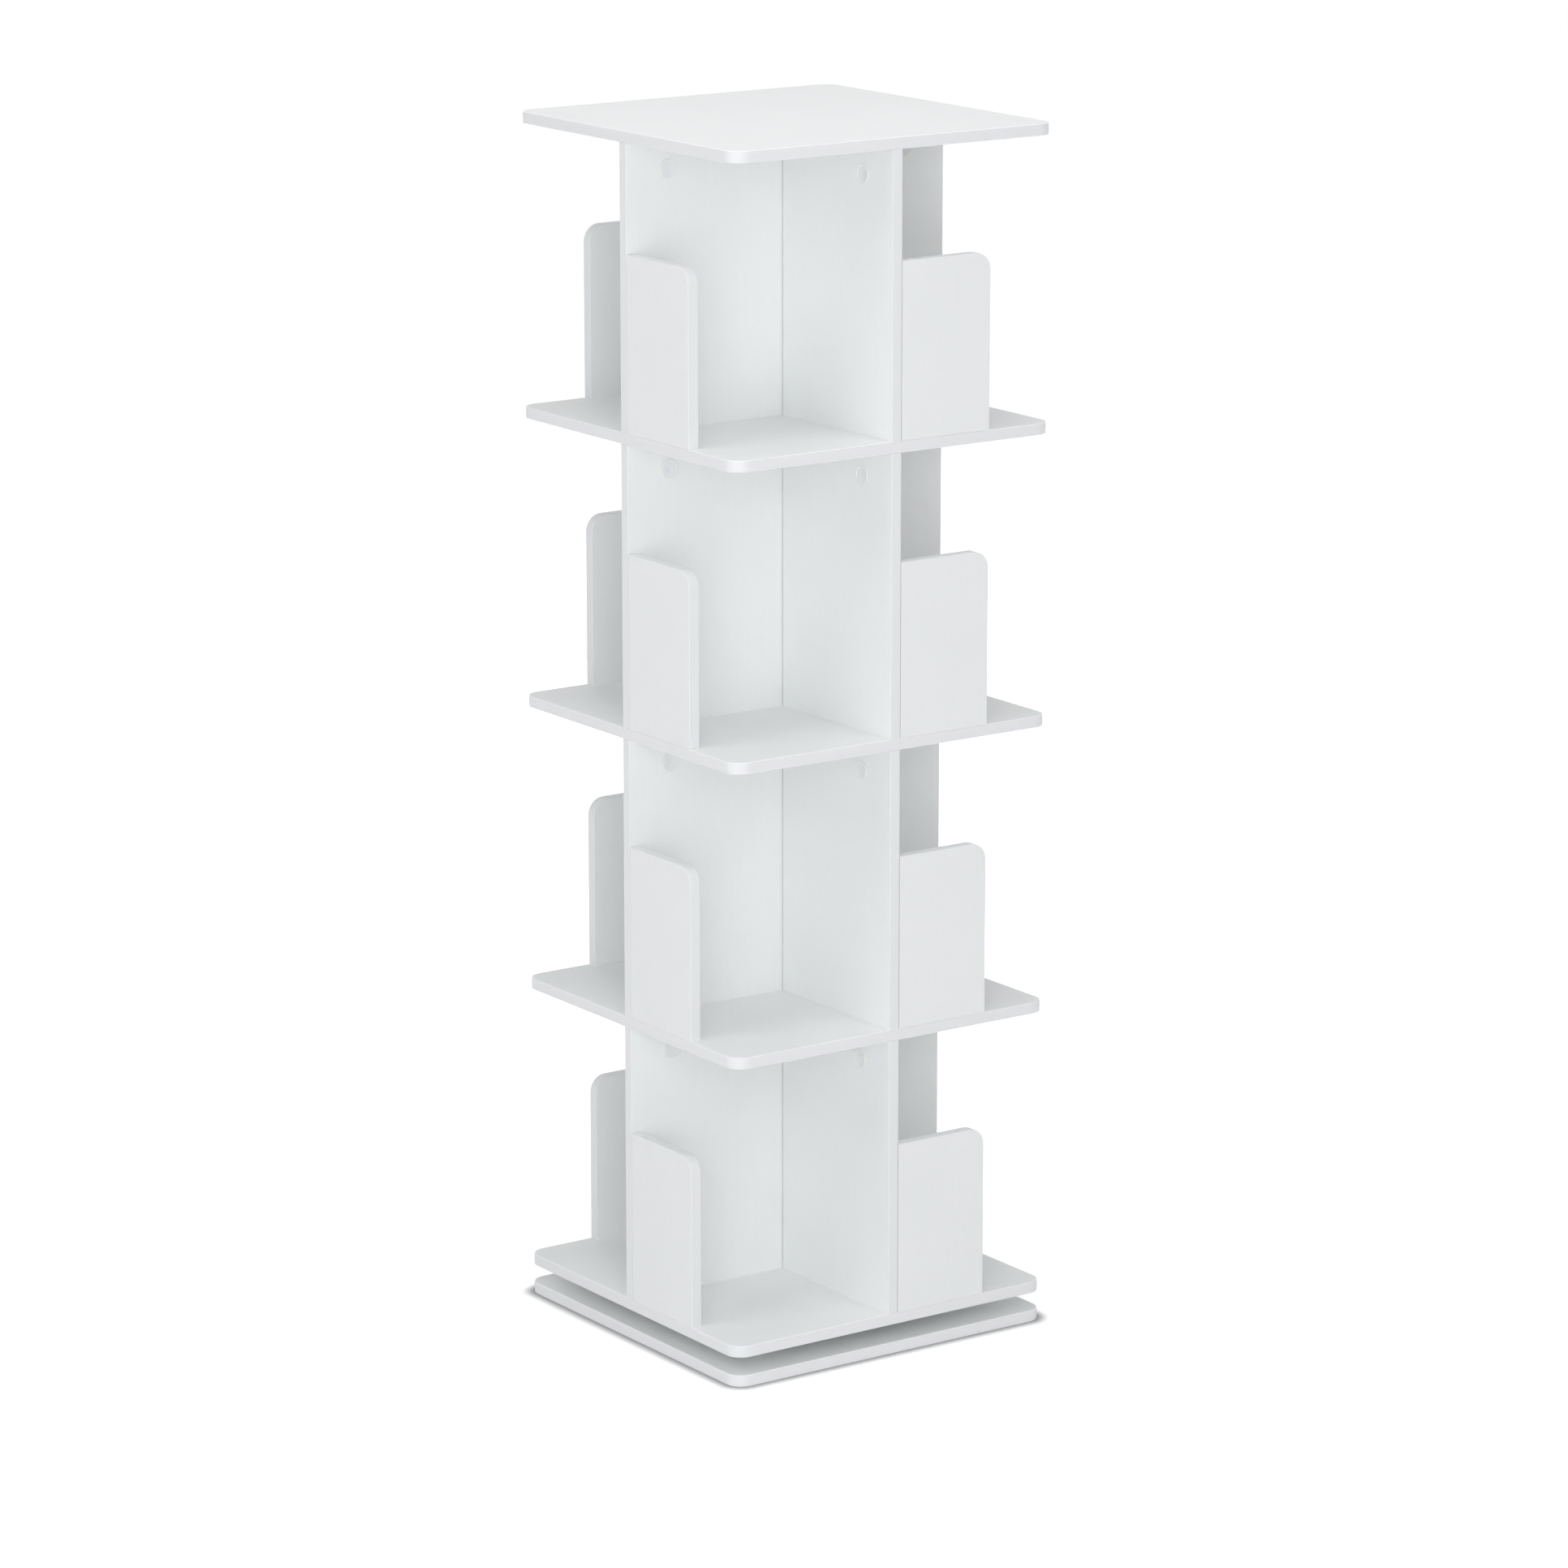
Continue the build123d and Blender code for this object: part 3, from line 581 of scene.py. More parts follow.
def divider_middle(wiring):
    """The distance from the middle line of a divider's strip."""
    x, y, _ = wiring.axes()
    return wiring.math("MINIMUM", abs(x), abs(y))


def stop_middle(wiring):
    """The distance from the middle line of a stop's strip."""
    x, y, _ = wiring.axes()
    return abs(wiring.math("MAXIMUM", abs(x), abs(y)) - (PLATE_HALF - BOARD / 2))


def beside_stop(wiring):
    """1 on the side of each divider's end where its stop stands, as high as the stop."""
    x, y, z = wiring.axes()
    stop_side = wiring.math("GREATER_THAN", x * y * (abs(x) - abs(y)), 0.0)
    height = wiring.math("MODULO", z - shelf_top, tier_pitch)
    return stop_side * wiring.math("LESS_THAN", height, stop_height)


upright = (DRAWN_ACROSS, DRAWN_ACROSS, DRAWN_ALONG)
# The dividers' bands get painted shade in the seam where each stop stands.
coat(edge_band("divider_band", upright, divider_middle, UPRIGHT_HIGHLIGHT, beside_stop), "divider_edge_bands")
coat(edge_band("stop_band", upright, stop_middle, UPRIGHT_HIGHLIGHT), "stop_edge_bands")
print("stops are", round(stop_height / MM, 1), "mm high")

# %% [markdown]
# Turned fittings.
#
# Caps, screws, bolts and dowels are small turned parts, and each kind is used many times over. They could be
# placed by hand, but the frame already holds a plain solid of every one, so the loose solids of a node say
# where the finer ones go. The shape is made as on a lathe: an outline of radius and height is spun about its
# axis. Sharp edges are rounded afterwards, because a real edge always catches a thin line of light.

# %% Find the places
WELD = 0.001 * MM


def solids_of(name):
    """The lowest and highest corner of each loose solid of a node."""
    bm = bmesh.new()
    bm.from_mesh(nodes[name].data)
    bmesh.ops.remove_doubles(bm, verts=bm.verts, dist=WELD)
    waiting = set(bm.verts)
    boxes = []
    for seed in bm.verts:
        if seed not in waiting:
            continue
        waiting.discard(seed)
        solid = [seed]
        for vert in solid:
            joined = {edge.other_vert(vert) for edge in vert.link_edges} & waiting
            waiting -= joined
            solid.extend(joined)
        sides = [[vert.co[axis] for vert in solid] for axis in (X, Y, Z)]
        boxes.append((Vector(map(min, sides)), Vector(map(max, sides))))
    bm.free()
    return boxes


def standing(outward, foot):
    """The place of a fitting whose own Z points outward from its foot."""
    return Matrix.Translation(foot) @ Vector((0, 0, 1)).rotation_difference(outward).to_matrix().to_4x4()


cap_boxes = solids_of("cam_caps")
print("caps found:", len(cap_boxes))

# %% Turn a shape and soften it
LATHE_STEPS = 48
SHARP = radians(35.0)


def turn(outline):
    """A solid of revolution about Z from (radius, height) points that start and end on the axis."""
    bm = bmesh.new()
    verts = [bm.verts.new((radius, 0.0, height)) for radius, height in outline]
    edges = [bm.edges.new(pair) for pair in zip(verts, verts[1:])]
    bmesh.ops.spin(
        bm, geom=verts + edges, cent=(0, 0, 0), axis=(0, 0, 1), angle=2 * pi, steps=LATHE_STEPS,
        use_merge=True,
    )
    bmesh.ops.remove_doubles(bm, verts=bm.verts, dist=WELD)
    bmesh.ops.recalc_face_normals(bm, faces=bm.faces)
    return bm


def soften(bm, width):
    """Rounds every edge whose two faces meet at a clear angle."""
    sharp = [edge for edge in bm.edges if edge.is_manifold and edge.calc_face_angle() > SHARP]
    bmesh.ops.bevel(
        bm, geom=sharp, offset=width, offset_type="OFFSET", affect="EDGES", segments=3, profile=0.5,
        material=-1, clamp_overlap=True,
    )


print("steps round a turned shape:", LATHE_STEPS)

# %% [markdown]
# Copies.
#
# A kit like this comes with a bag of each fitting, all of them alike. Every one could be an object of its
# own, but the frame keeps a kind in one node, and one mesh that holds all the copies stands for that node. So
# the first fitting is copied to each place, and the mesh is handed over with the body that it rides on.

# %% Set out and hand over
def verts_in(geometry):
    """The vertices among vertices, edges and faces."""
    return [item for item in geometry if isinstance(item, bmesh.types.BMVert)]


def open_edges_in(geometry):
    """The edges that have a face on one side only."""
    return [item for item in geometry if isinstance(item, bmesh.types.BMEdge) and len(item.link_faces) == 1]


def set_out(bm, places):
    """Moves what the bmesh holds to the first place and a copy of it to each of the others."""
    first = bm.verts[:] + bm.edges[:] + bm.faces[:]
    for place in places[1:]:
        copied = bmesh.ops.duplicate(bm, geom=first)["geom"]
        bmesh.ops.transform(bm, matrix=place, verts=verts_in(copied))
    bmesh.ops.transform(bm, matrix=places[0], verts=verts_in(first))


def hand_over(bm, name, body, slot, finish, *replaced):
    """Makes the bmesh a piece that rides on a body and stands for nodes of the frame."""
    mesh = bpy.data.meshes.new(name)
    bm.to_mesh(mesh)
    bm.free()
    mesh.materials.append(finish)
    mesh.shade_smooth()
    mesh.set_sharp_from_angle(angle=SHARP)
    piece = bpy.data.objects.new(name, mesh)
    bpy.context.scene.collection.objects.link(piece)
    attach(piece, body)
    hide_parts(*replaced)
    print(name, "faces:", len(mesh.polygons))


print("edges stay sharp above, rad:", round(SHARP, 2))

# %% [markdown]
# Cam caps.
#
# Near the top of each divider a round plastic cap hides the cam that pulls the joint tight. It is moulded in
# an off-white plastic: a thin raised rim, a face that lies a little lower, a dimple where the plastic came
# in, and a pin that plugs into the cam. The rim is thinner and looks warmer than the face. It could be a
# second material, but then the tint would end in a hard line. So the turned mesh carries a number on each
# vertex, 1 on the rim, and the finish reads it to mix the two tints.

# %% Cam cap shape
CAP_RADIUS = 10.0 * MM
CAP_RIM_HEIGHT = 1.4 * MM
CAP_RIM_WIDTH = 1.5 * MM
CAP_FACE_HEIGHT = 0.8 * MM
CAP_PIN_RADIUS = 1.5 * MM
CAP_PIN_LENGTH = 2.0 * MM
CAP_SLOPE = 0.3 * MM
GATE_RADIUS = 0.9 * MM
GATE_DEPTH = 0.2 * MM
CAP_ROUND = 0.22 * MM

rim_inside = CAP_RADIUS - CAP_RIM_WIDTH
cap = turn([
    (0.0, -CAP_PIN_LENGTH),
    (CAP_PIN_RADIUS, -CAP_PIN_LENGTH),
    (CAP_PIN_RADIUS, 0.0),
    (CAP_RADIUS, 0.0),
    (CAP_RADIUS, CAP_RIM_HEIGHT),
    (rim_inside, CAP_RIM_HEIGHT),
    (rim_inside - CAP_SLOPE, CAP_FACE_HEIGHT),
    (GATE_RADIUS, CAP_FACE_HEIGHT),
    (GATE_RADIUS / 2, CAP_FACE_HEIGHT - GATE_DEPTH),
    (0.0, CAP_FACE_HEIGHT - GATE_DEPTH),
])
soften(cap, CAP_ROUND)
on_rim = cap.verts.layers.float.new("rim")
for vert in cap.verts:
    outside = vert.co.xy.length > rim_inside - CAP_SLOPE
    vert[on_rim] = 1.0 if outside and vert.co.z > CAP_FACE_HEIGHT else 0.0
print("vertices of one cap:", len(cap.verts))

# %% Cam cap plastic and places
CAP_FACE = srgb(232, 234, 235)
CAP_FACE_SHADE = srgb(228, 230, 232)
CAP_RIM = srgb(239, 237, 230)
CAP_RIM_TINT = 0.85
CAP_RIM_ROUGH = 0.08
CAP_ROUGH = 0.3
CAP_DEPTH = 0.02 * MM
CAP_RELIEF = 0.35
CAP_SHINE = 0.3
MOULDED = 700.0
MOULDED_ROUGH = 0.12
CAP_CLOUDS = MOULDED / 6


def cap_place(low, high):
    """A cap lies across its thin axis and faces away from the middle of the divider."""
    across = min((X, Y), key=lambda axis: high[axis] - low[axis])
    foot = (low + high) / 2
    outward = Vector((0, 0, 0))
    outward[across] = 1.0 if foot[across] > 0 else -1.0
    foot[across] = high[across] - CAP_RIM_HEIGHT if foot[across] > 0 else low[across] + CAP_RIM_HEIGHT
    return standing(outward, foot)


def cap_plastic(wiring):
    """Off-white plastic that is warmer on the rim."""
    rim = wiring.node("ShaderNodeAttribute", {"attribute_name": "rim"}, output="Fac")
    moulded = wiring.noise((MOULDED, MOULDED, MOULDED))
    clouds = wiring.noise((CAP_CLOUDS, CAP_CLOUDS, CAP_CLOUDS))
    face = wiring.mix(clouds, CAP_FACE, CAP_FACE_SHADE)
    return {
        "Base Color": wiring.mix(CAP_RIM_TINT * rim, face, CAP_RIM),
        "Roughness": CAP_ROUGH + MOULDED_ROUGH * moulded + CAP_RIM_ROUGH * rim,
        "Normal": wiring.bump(moulded, CAP_DEPTH, CAP_RELIEF),
    }


set_out(cap, [cap_place(*box) for box in cap_boxes])
cap_finish = finish_of("cap_plastic", cap_plastic, {"Specular IOR Level": CAP_SHINE})
hand_over(cap, "cam_cap_set", "carousel", "cam_cap", cap_finish, "cam_caps")

# %% [markdown]
# Metal finishes.
#
# The turntable is pressed from sheet steel and plated with bright zinc: cold grey with faint rolling lines,
# and here and there a blue or straw tint from the last bath. The balls are ground and polished and carry a
# film of grease. The cams are cast in zinc, duller and grainier. One plain grey would do for parts that
# hardly show, but zinc without its tints looks like paint. All are one recipe with other numbers, so one
# function holds it: a grey that two slow noises tint, a fine noise for the surface, all of it metal.

# %% A metal
DRIFT_STEP = (0.45, 0.7)
DRIFT_TINT = 0.6
DRIFT_ROUGH = 0.1
BATH_FINER = 2.3
BATH_STEP = (0.5, 0.75)
BATH_TINT = 0.5
FINE_ROUGH = 0.14
METAL_RELIEF = 0.4


def metal(name, plain, drift_tint, bath_tint, surface, slow, roughness, depth):
    """A metal whose grey drifts between tints; surface and slow are grains per metre on X, Y and Z."""

    def dress(wiring):
        fine = wiring.noise(surface, detail=3.0)
        drift = wiring.noise(slow)
        bath = wiring.noise([BATH_FINER * grains for grains in slow])
        grey = wiring.mix(DRIFT_TINT * wiring.smooth_step(drift, *DRIFT_STEP), plain, drift_tint)
        return {
            "Base Color": wiring.mix(BATH_TINT * wiring.smooth_step(bath, *BATH_STEP), grey, bath_tint),
            "Roughness": roughness + FINE_ROUGH * fine + DRIFT_ROUGH * drift,
            "Normal": wiring.bump(fine, depth, METAL_RELIEF),
        }

    return finish_of(name, dress, {"Metallic": 1.0})


print("a metal has two tints beside its grey")

# %% Zinc, cast zinc and polished steel
ZINC = srgb(190, 194, 199)
ZINC_BLUE = srgb(172, 182, 198)
ZINC_STRAW = srgb(205, 200, 184)
CAST_ZINC = srgb(150, 153, 158)
CAST_DARK = srgb(118, 121, 126)
STEEL = srgb(205, 207, 210)
GREASE = srgb(186, 178, 156)

rolled = metal(
    "zinc_pressing", ZINC, ZINC_BLUE, ZINC_STRAW,
    surface=(30.0, 1500.0, 1500.0), slow=(26.0,) * 3, roughness=0.26, depth=0.02 * MM,
)
plated = metal(
    "zinc_screw", ZINC, ZINC_BLUE, ZINC_STRAW,
    surface=(1800.0,) * 3, slow=(120.0,) * 3, roughness=0.24, depth=0.01 * MM,
)
cast = metal(
    "zinc_cam", CAST_ZINC, CAST_DARK, ZINC,
    surface=(1100.0,) * 3, slow=(150.0,) * 3, roughness=0.38, depth=0.05 * MM,
)
polished = metal(
    "polished_ball", STEEL, ZINC, GREASE,
    surface=(2500.0,) * 3, slow=(220.0,) * 3, roughness=0.05, depth=0.002 * MM,
)
coat(rolled, "lower_bearing_plate", "upper_bearing_plate", "pivot_rivet")
coat(plated, "weld_nuts")
coat(cast, "cam_locks")
coat(polished, "bearing_balls")
print("metal finishes: 4")

# %% [markdown]
# Nylon.
#
# The cage that spaces the balls and the washer between the hubs are moulded in natural nylon, a waxy white
# that yellows a little. A flat cream would look like paint, so the tint drifts and a fine noise roughens the
# skin the way a mould does. Grease from the balls has darkened the cage round its pockets, which the finish
# finds from its distance to the ball circle.

# %% Nylon cage and washer
NYLON = srgb(226, 224, 214)
NYLON_AGED = srgb(214, 208, 190)
NYLON_DRIFT = 60.0
NYLON_ROUGH = 0.42
NYLON_DEPTH = 0.03 * MM
NYLON_RELIEF = 0.4
GREASE_FULL = 2.0 * MM
GREASE_END = 7.0 * MM
GREASE_TINT = 0.35
GREASE_SMOOTH = 0.15
ball_low, ball_high = solids_of("bearing_balls")[0]
BALL_CIRCLE = ((ball_low + ball_high) / 2).xy.length


def nylon(wiring):
    """Waxy white that has yellowed, with grease near the balls."""
    moulded = wiring.noise((MOULDED, MOULDED, MOULDED))
    drift = wiring.noise((NYLON_DRIFT, NYLON_DRIFT, NYLON_DRIFT))
    x, y, _ = wiring.axes()
    off_circle = abs(wiring.math("SQRT", x * x + y * y) - BALL_CIRCLE)
    greased = 1.0 - wiring.smooth_step(off_circle, GREASE_FULL, GREASE_END)
    white = wiring.mix(drift, NYLON, NYLON_AGED)
    return {
        "Base Color": wiring.mix(GREASE_TINT * greased * drift, white, GREASE),
        "Roughness": NYLON_ROUGH + MOULDED_ROUGH * moulded - GREASE_SMOOTH * greased,
        "Normal": wiring.bump(moulded, NYLON_DEPTH, NYLON_RELIEF),
    }


coat(finish_of("natural_nylon", nylon), "ball_cage", "pivot_washer")
print("radius of the ball circle, mm:", round(BALL_CIRCLE / MM, 1))

# %% [markdown]
# Beech dowels.
#
# The boards are lined up by dowels of beech, pinkish brown with short dark flecks. They are pressed into
# their holes, and straight flutes let the glue and the air out. A plain rod would do for a part that nobody
# sees, but a fluted one is only a circle whose every fourth vertex is pulled in, drawn out ring by ring.

# %% Dowel shape
DOWEL_RADIUS = 3.0 * MM
DOWEL_BEVEL = 0.8 * MM
FLUTES = 12
FLUTE_STEPS = 4
FLUTE_SHARE = 0.92


def grow(bm, loop, radius, height):
    """Draws an open loop of edges out to a ring of this radius and height, and gives the ring's edges."""
    drawn = bmesh.ops.extrude_edge_only(bm, edges=loop)["geom"]
    for vert in verts_in(drawn):
        vert.co.xy = vert.co.xy.normalized() * radius
        vert.co.z = height
    return open_edges_in(drawn)


def close(bm, loop):
    """Puts a lid on an open loop."""
    bmesh.ops.edgeloop_fill(bm, edges=loop)


def fluted_dowel(length):
    """A dowel that stands on Z = 0."""
    bm = bmesh.new()
    narrow = DOWEL_RADIUS - DOWEL_BEVEL
    spokes = FLUTE_STEPS * FLUTES
    bmesh.ops.create_circle(bm, cap_ends=False, segments=spokes, radius=narrow)
    foot = bm.edges[:]
    body_low = grow(bm, foot, DOWEL_RADIUS, DOWEL_BEVEL)
    body_high = grow(bm, body_low, DOWEL_RADIUS, length - DOWEL_BEVEL)
    end = grow(bm, body_high, narrow, length)
    for ring in (body_low, body_high):
        for vert in {vert for edge in ring for vert in edge.verts}:
            spoke = round(atan2(vert.co.y, vert.co.x) / (2 * pi) * spokes)
            if spoke % FLUTE_STEPS == 0:
                vert.co.xy *= FLUTE_SHARE
    close(bm, foot)
    close(bm, end)
    bmesh.ops.recalc_face_normals(bm, faces=bm.faces)
    return bm


print("flutes on a dowel:", FLUTES)

# %% Beech and places
BEECH = srgb(214, 180, 140)
BEECH_DARK = srgb(178, 136, 96)
BEECH_ROUGH = 0.62
BEECH_RELIEF = 0.4
FLECKS = 900.0
FLECK_STEP = (0.52, 0.68)
FLECK_TINT = 0.55
FLECK_ROUGH = 0.15
FLECK_DEPTH = 0.04 * MM
RINGS = 160.0
RING_TINT = 0.4


def dowel_place(low, high):
    """A dowel lies along the longest side of its box and starts at the low end."""
    along = max((X, Y, Z), key=lambda axis: high[axis] - low[axis])
    foot = (low + high) / 2
    foot[along] = low[along]
    return standing(Vector([float(axis == along) for axis in (X, Y, Z)]), foot)


def beech(wiring):
    """Pinkish wood with short dark flecks."""
    flecks = wiring.smooth_step(wiring.noise((FLECKS, FLECKS, FLECKS), detail=3.0), *FLECK_STEP)
    rings = wiring.noise((RINGS, RINGS, RINGS))
    return {
        "Base Color": wiring.mix(FLECK_TINT * flecks + RING_TINT * rings, BEECH, BEECH_DARK),
        "Roughness": BEECH_ROUGH + FLECK_ROUGH * flecks,
        "Normal": wiring.bump(flecks, FLECK_DEPTH, BEECH_RELIEF),
    }


beech_finish = finish_of("beech_dowel", beech)
for node in ("top_dowels", "stop_dowels", "cross_dowels"):
    dowel_boxes = solids_of(node)
    low, high = dowel_boxes[0]
    dowel = fluted_dowel(max(high - low))
    set_out(dowel, [dowel_place(*box) for box in dowel_boxes])
    hand_over(dowel, f"fluted_{node}", "carousel", "beech_dowel", beech_finish, node)

# %% [markdown]
# Threads.
#
# Wood screws come up through each shelf into the boards that stand on it, machine screws hold the turntable
# to the base, and cam bolts hang from the plate above. A thread could be faked with a stack of rings, but a
# real one climbs. Spin can travel while it turns: one pitch of the thread's outline goes round and rises a
# pitch with each turn, so every turn ends where the next began. The tube that this makes is cut square at
# both ends, and the point, shank and head are drawn out of the two cut loops, ring by ring.

# %% A rolled thread
THREAD_STEPS = 24
THREAD_OUTLINE = ((0.0, 0.0), (0.45, 0.0), (0.7, 1.0), (0.8, 1.0), (1.0, 0.0))
THREAD_LEAD = 1.5
CUT_TOLERANCE = 0.002 * MM


def thread(core, crest, pitch, low, high):
    """An open threaded tube about Z; the outline holds shares of the pitch and of the thread's depth."""
    bm = bmesh.new()
    start = low - THREAD_LEAD * pitch
    outline = [(core + (crest - core) * depth, start + pitch * climb) for climb, depth in THREAD_OUTLINE]
    verts = [bm.verts.new((radius, 0.0, height)) for radius, height in outline]
    edges = [bm.edges.new(pair) for pair in zip(verts, verts[1:])]
    turns = ceil((high - start) / pitch) + 1
    bmesh.ops.spin(
        bm, geom=verts + edges, cent=(0, 0, 0), axis=(0, 0, 1), dvec=(0, 0, pitch / THREAD_STEPS),
        angle=2 * pi * turns, steps=turns * THREAD_STEPS,
    )
    bmesh.ops.remove_doubles(bm, verts=bm.verts, dist=WELD)
    for height, side in ((low, "clear_inner"), (high, "clear_outer")):
        bmesh.ops.bisect_plane(
            bm, geom=bm.verts[:] + bm.edges[:] + bm.faces[:], plane_co=(0, 0, height), plane_no=(0, 0, 1),
            **{side: True},
        )
    bmesh.ops.remove_doubles(bm, verts=bm.verts, dist=CUT_TOLERANCE)
    return bm


def cut_loop(bm, height):
    """The open edges that a square cut left at this height."""
    return [
        edge for edge in bm.edges
        if edge.is_boundary and all(abs(vert.co.z - height) < CUT_TOLERANCE for vert in edge.verts)
    ]


def draw_out(bm, loop, rings):
    """Draws a loop through rings of (radius, height), one after another, and gives the last loop."""
    for radius, height in rings:
        loop = grow(bm, loop, radius, height)
    return loop


print("steps in one turn of a thread:", THREAD_STEPS)

# %% [markdown]
# Heads.
#
# The screws are driven with a cross-point bit, and a punch has pressed its shape into each head. A recess
# could be cut out of a solid head, but cutting a mesh leaves ragged faces. Here the head is left open, the
# cross is drawn as a loop of twelve corners in the opening, the ring between the two is bridged, and the
# cross is drawn down to a narrower floor.

# %% A cross recess
DRIVE_LENGTH_SHARE = 0.55
DRIVE_WIDTH_SHARE = 0.14
DRIVE_DEPTH_SHARE = 0.5
DRIVE_TAPER = 0.7


def close_with_cross(bm, rim, radius):
    """Closes a head's open rim at Z = 0 with a face that holds a cross recess."""
    long = radius * DRIVE_LENGTH_SHARE
    wide = radius * DRIVE_WIDTH_SHARE
    arm = [Vector((long, -wide, 0.0)), Vector((long, wide, 0.0)), Vector((wide, wide, 0.0))]
    verts = []
    for quarter in range(4):
        turned = Matrix.Rotation(quarter * pi / 2, 3, "Z")
        verts += [bm.verts.new(turned @ corner) for corner in arm]
    mouth = [bm.edges.new(pair) for pair in zip(verts, verts[1:] + verts[:1])]
    bmesh.ops.bridge_loops(bm, edges=rim + mouth)
    drawn = bmesh.ops.extrude_edge_only(bm, edges=mouth)["geom"]
    bottom = verts_in(drawn)
    bmesh.ops.scale(bm, vec=(DRIVE_TAPER, DRIVE_TAPER, 1.0), verts=bottom)
    bmesh.ops.translate(bm, vec=(0.0, 0.0, radius * DRIVE_DEPTH_SHARE), verts=bottom)
    close(bm, open_edges_in(drawn))


def upright_places(name):
    """Where the fittings of a node stand, each on the middle of its lowest face."""
    return [Matrix.Translation((*((low + high) / 2).xy, low.z)) for low, high in solids_of(name)]


def length_of(name):
    """How long the upright fittings of a node are."""
    low, high = solids_of(name)[0]
    return high.z - low.z


def finish_fitting(bm, name, body, node):
    """Closes the work on a screw or bolt: normals, copies and hand-over."""
    bmesh.ops.recalc_face_normals(bm, faces=bm.faces)
    set_out(bm, upright_places(node))
    hand_over(bm, name, body, "zinc_screw", plated, node)


print("a cross takes up this share of a head:", DRIVE_LENGTH_SHARE)

# %% [markdown]
# Wood screws.
#
# A countersunk chipboard screw has a coarse thread, a sharp point, a smooth neck that slips through the
# shelf, and a flat cone of a head that ends flush with the underside. Each kind could be drawn by itself, but
# they differ in length alone, so one function makes the screw and the frame says how long it is.

# %% Wood screws
WOOD_RADIUS = 1.98 * MM
WOOD_CORE = 1.3 * MM
WOOD_SHANK = 1.6 * MM
WOOD_PITCH = 1.9 * MM
WOOD_HEAD = 3.95 * MM
WOOD_LAND = 0.35 * MM
WOOD_POINT = 5.0 * MM
WOOD_TIP = 0.3 * MM
SMOOTH_SHARE = 0.36


def wood_thread(start, length):
    """A wood thread that runs from start to a point at this length."""
    cut = length - WOOD_TIP
    bm = thread(WOOD_CORE, WOOD_RADIUS, WOOD_PITCH, start, cut)
    for vert in bm.verts:
        vert.co.xy *= min(1.0, (length - vert.co.z) / WOOD_POINT)
    close(bm, cut_loop(bm, cut))
    return bm


def wood_screw(length):
    """A countersunk screw with its head at Z = 0 and a smooth neck below the thread."""
    neck_end = length * SMOOTH_SHARE
    bm = wood_thread(neck_end, length)
    neck = [(WOOD_SHANK, neck_end - WOOD_LAND), (WOOD_SHANK, WOOD_HEAD - WOOD_SHANK + WOOD_LAND)]
    head = [(WOOD_HEAD, WOOD_LAND), (WOOD_HEAD, 0.0)]
    close_with_cross(bm, draw_out(bm, cut_loop(bm, neck_end), neck + head), WOOD_HEAD)
    return bm


for node in ("divider_screws", "stop_screws"):
    finish_fitting(wood_screw(length_of(node)), f"threaded_{node}", "carousel", node)

# %% [markdown]
# Turntable screws.
#
# The lower plate of the turntable is held by machine screws that come up from under the base into weld nuts.
# They have a fine thread up to the cone of the head. The upper plate is held to the lowest shelf by short
# wood screws, whose pan heads clamp the sheet from below. Plain pins would do where only the heads show, but
# the thread is at hand, so both are drawn out of one as the wood screws are.

# %% Machine screws
MACHINE_RADIUS = 2.46 * MM
MACHINE_CORE = 2.05 * MM
MACHINE_PITCH = 0.8 * MM
MACHINE_HEAD = 4.55 * MM
MACHINE_LAND = 0.3 * MM
MACHINE_END = 0.5 * MM

base_length = length_of("base_screws")
base_cut = base_length - MACHINE_END
cone_end = MACHINE_HEAD - MACHINE_RADIUS + MACHINE_LAND
machine_start = cone_end + MACHINE_LAND
machine = thread(MACHINE_CORE, MACHINE_RADIUS, MACHINE_PITCH, machine_start, base_cut)
close(machine, draw_out(machine, cut_loop(machine, base_cut), [(MACHINE_CORE - MACHINE_END, base_length)]))
head = [(MACHINE_RADIUS, cone_end), (MACHINE_HEAD, MACHINE_LAND), (MACHINE_HEAD, 0.0)]
close_with_cross(machine, draw_out(machine, cut_loop(machine, machine_start), head), MACHINE_HEAD)
finish_fitting(machine, "threaded_base_screws", "base", "base_screws")

# %% Pan-head screws
PAN_HEAD = 4.45 * MM
PAN_HEIGHT = 2.4 * MM
PAN_SIDE = 1.1 * MM
PAN_FLAT = 2.9 * MM
PAN_ROUND = 3.9 * MM
SHEET = 2.0 * MM

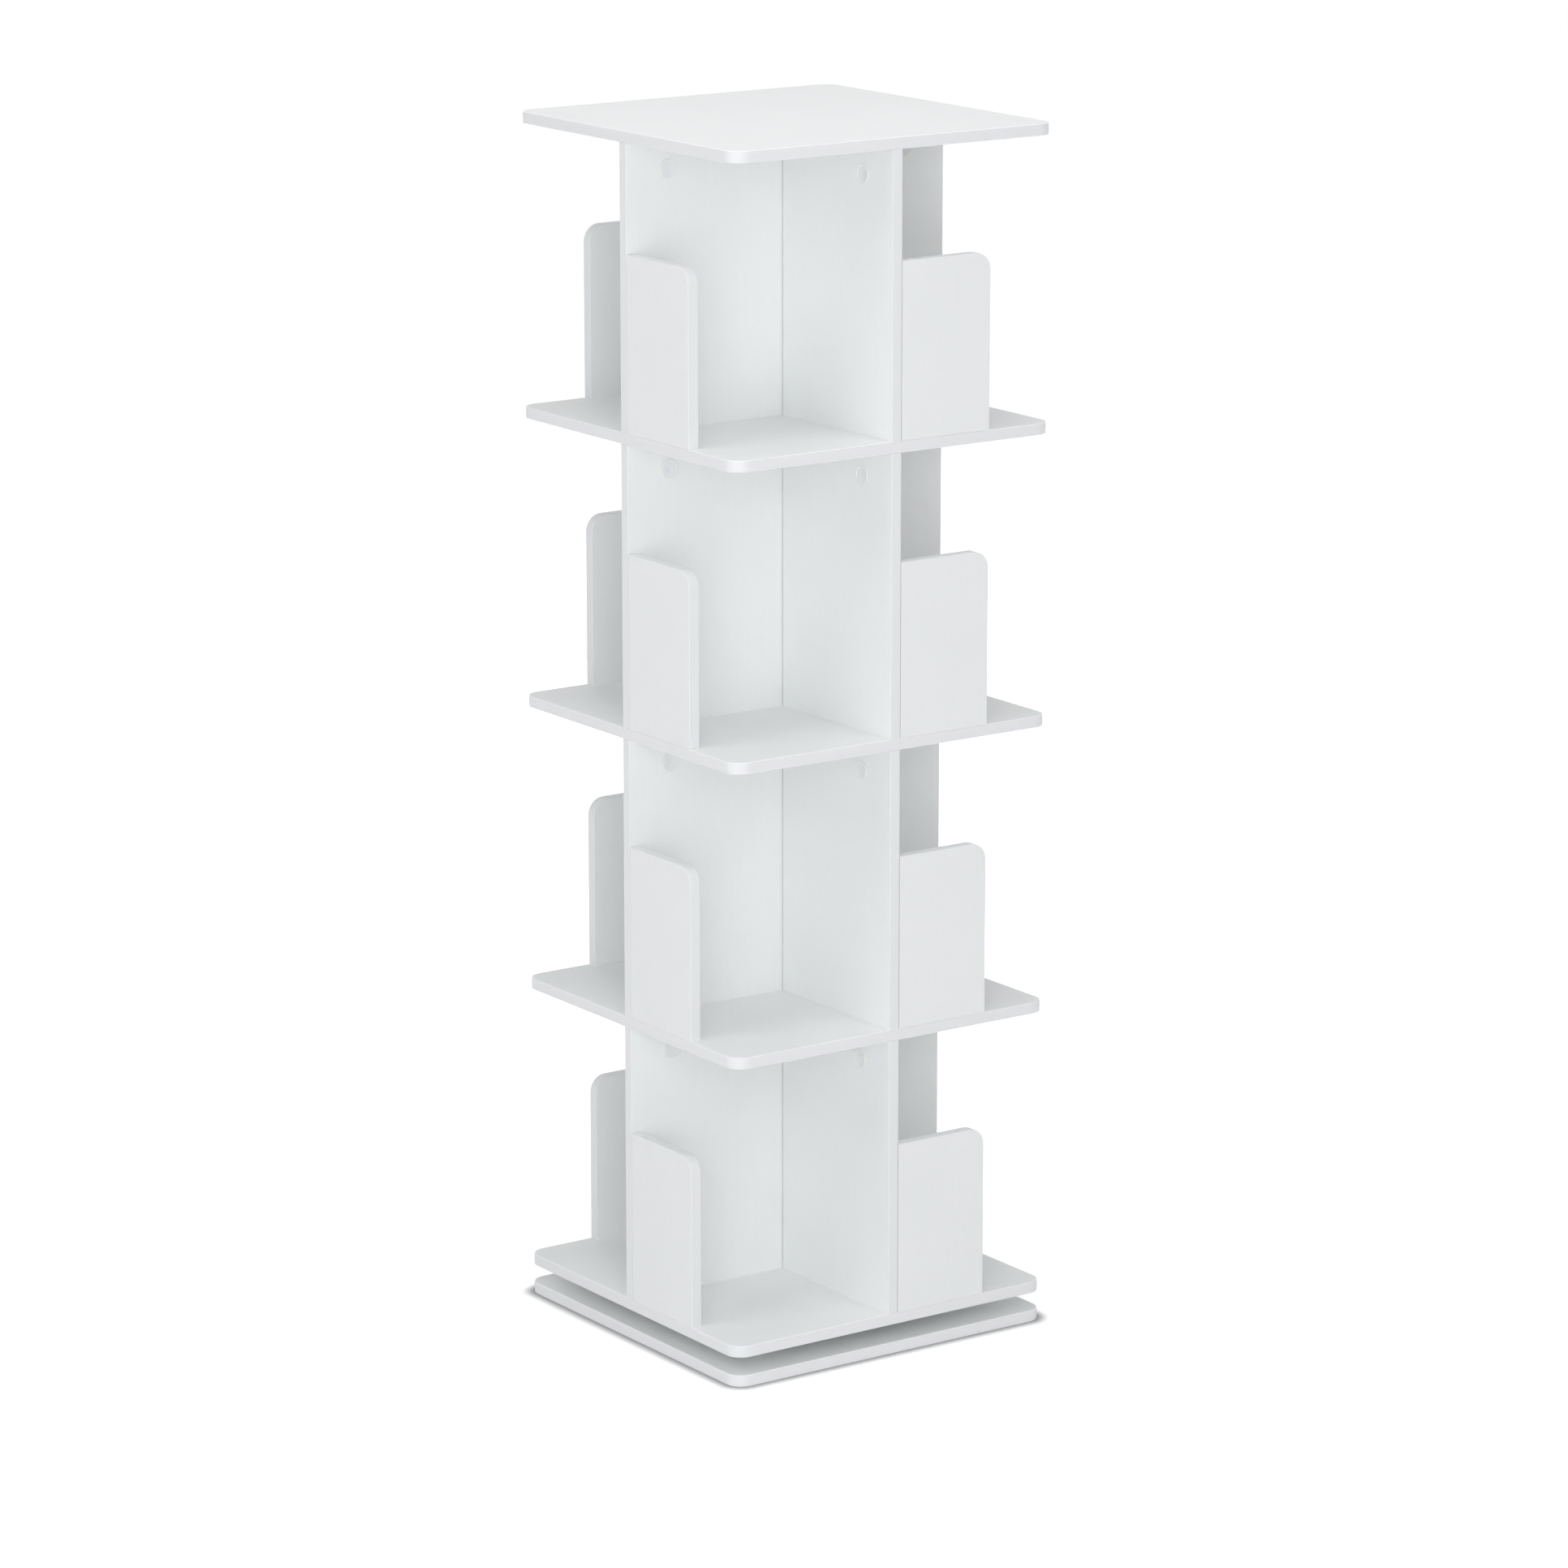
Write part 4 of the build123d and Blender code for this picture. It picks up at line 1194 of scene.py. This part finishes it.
pan_start = PAN_HEIGHT + SHEET
pan = wood_thread(pan_start, length_of("shelf_screws"))
head = [
    (WOOD_SHANK, PAN_HEIGHT + SHEET / 2),
    (WOOD_SHANK, PAN_HEIGHT),
    (PAN_HEAD, PAN_HEIGHT),
    (PAN_HEAD, PAN_SIDE),
    (PAN_ROUND, PAN_SIDE / 3),
    (PAN_FLAT, 0.0),
]
close_with_cross(pan, draw_out(pan, cut_loop(pan, pan_start), head), PAN_FLAT)
finish_fitting(pan, "threaded_shelf_screws", "carousel", "shelf_screws")

# %% [markdown]
# Cam bolts.
#
# A cam bolt is screwed into the plate above until its collar stops it, and its head hangs into the divider,
# where the cam hooks behind the neck and pulls. It could be turned as the caps are, but a turned shape has no
# climbing thread. So it is one more thread, with a collar, a neck and a chamfered head drawn out of its lower
# end.

# %% Cam bolts
BOLT_THREAD = 2.95 * MM
BOLT_CORE = 2.1 * MM
BOLT_PITCH = 2.2 * MM
BOLT_RISE = 10.0 * MM
BOLT_COLLAR = 3.45 * MM
BOLT_COLLAR_LENGTH = 1.2 * MM
BOLT_NECK = 1.95 * MM
BOLT_HEAD = 2.75 * MM
BOLT_HEAD_LENGTH = 4.0 * MM
BOLT_CHAMFER = 0.6 * MM

bolt_length = length_of("cam_bolts")
bolt_cut = bolt_length - BOLT_CHAMFER
collar_top = bolt_length - BOLT_RISE
bolt = thread(BOLT_CORE, BOLT_THREAD, BOLT_PITCH, collar_top, bolt_cut)
close(bolt, draw_out(bolt, cut_loop(bolt, bolt_cut), [(BOLT_CORE - BOLT_CHAMFER, bolt_length)]))
rings = [
    (BOLT_COLLAR, collar_top),
    (BOLT_COLLAR, collar_top - BOLT_COLLAR_LENGTH),
    (BOLT_NECK, collar_top - BOLT_COLLAR_LENGTH),
    (BOLT_NECK, BOLT_HEAD_LENGTH),
    (BOLT_HEAD, BOLT_HEAD_LENGTH - BOLT_CHAMFER),
    (BOLT_HEAD, BOLT_CHAMFER),
    (BOLT_HEAD - BOLT_CHAMFER, 0.0),
]
close(bolt, draw_out(bolt, cut_loop(bolt, collar_top), rings))
finish_fitting(bolt, "threaded_cam_bolts", "carousel", "cam_bolts")
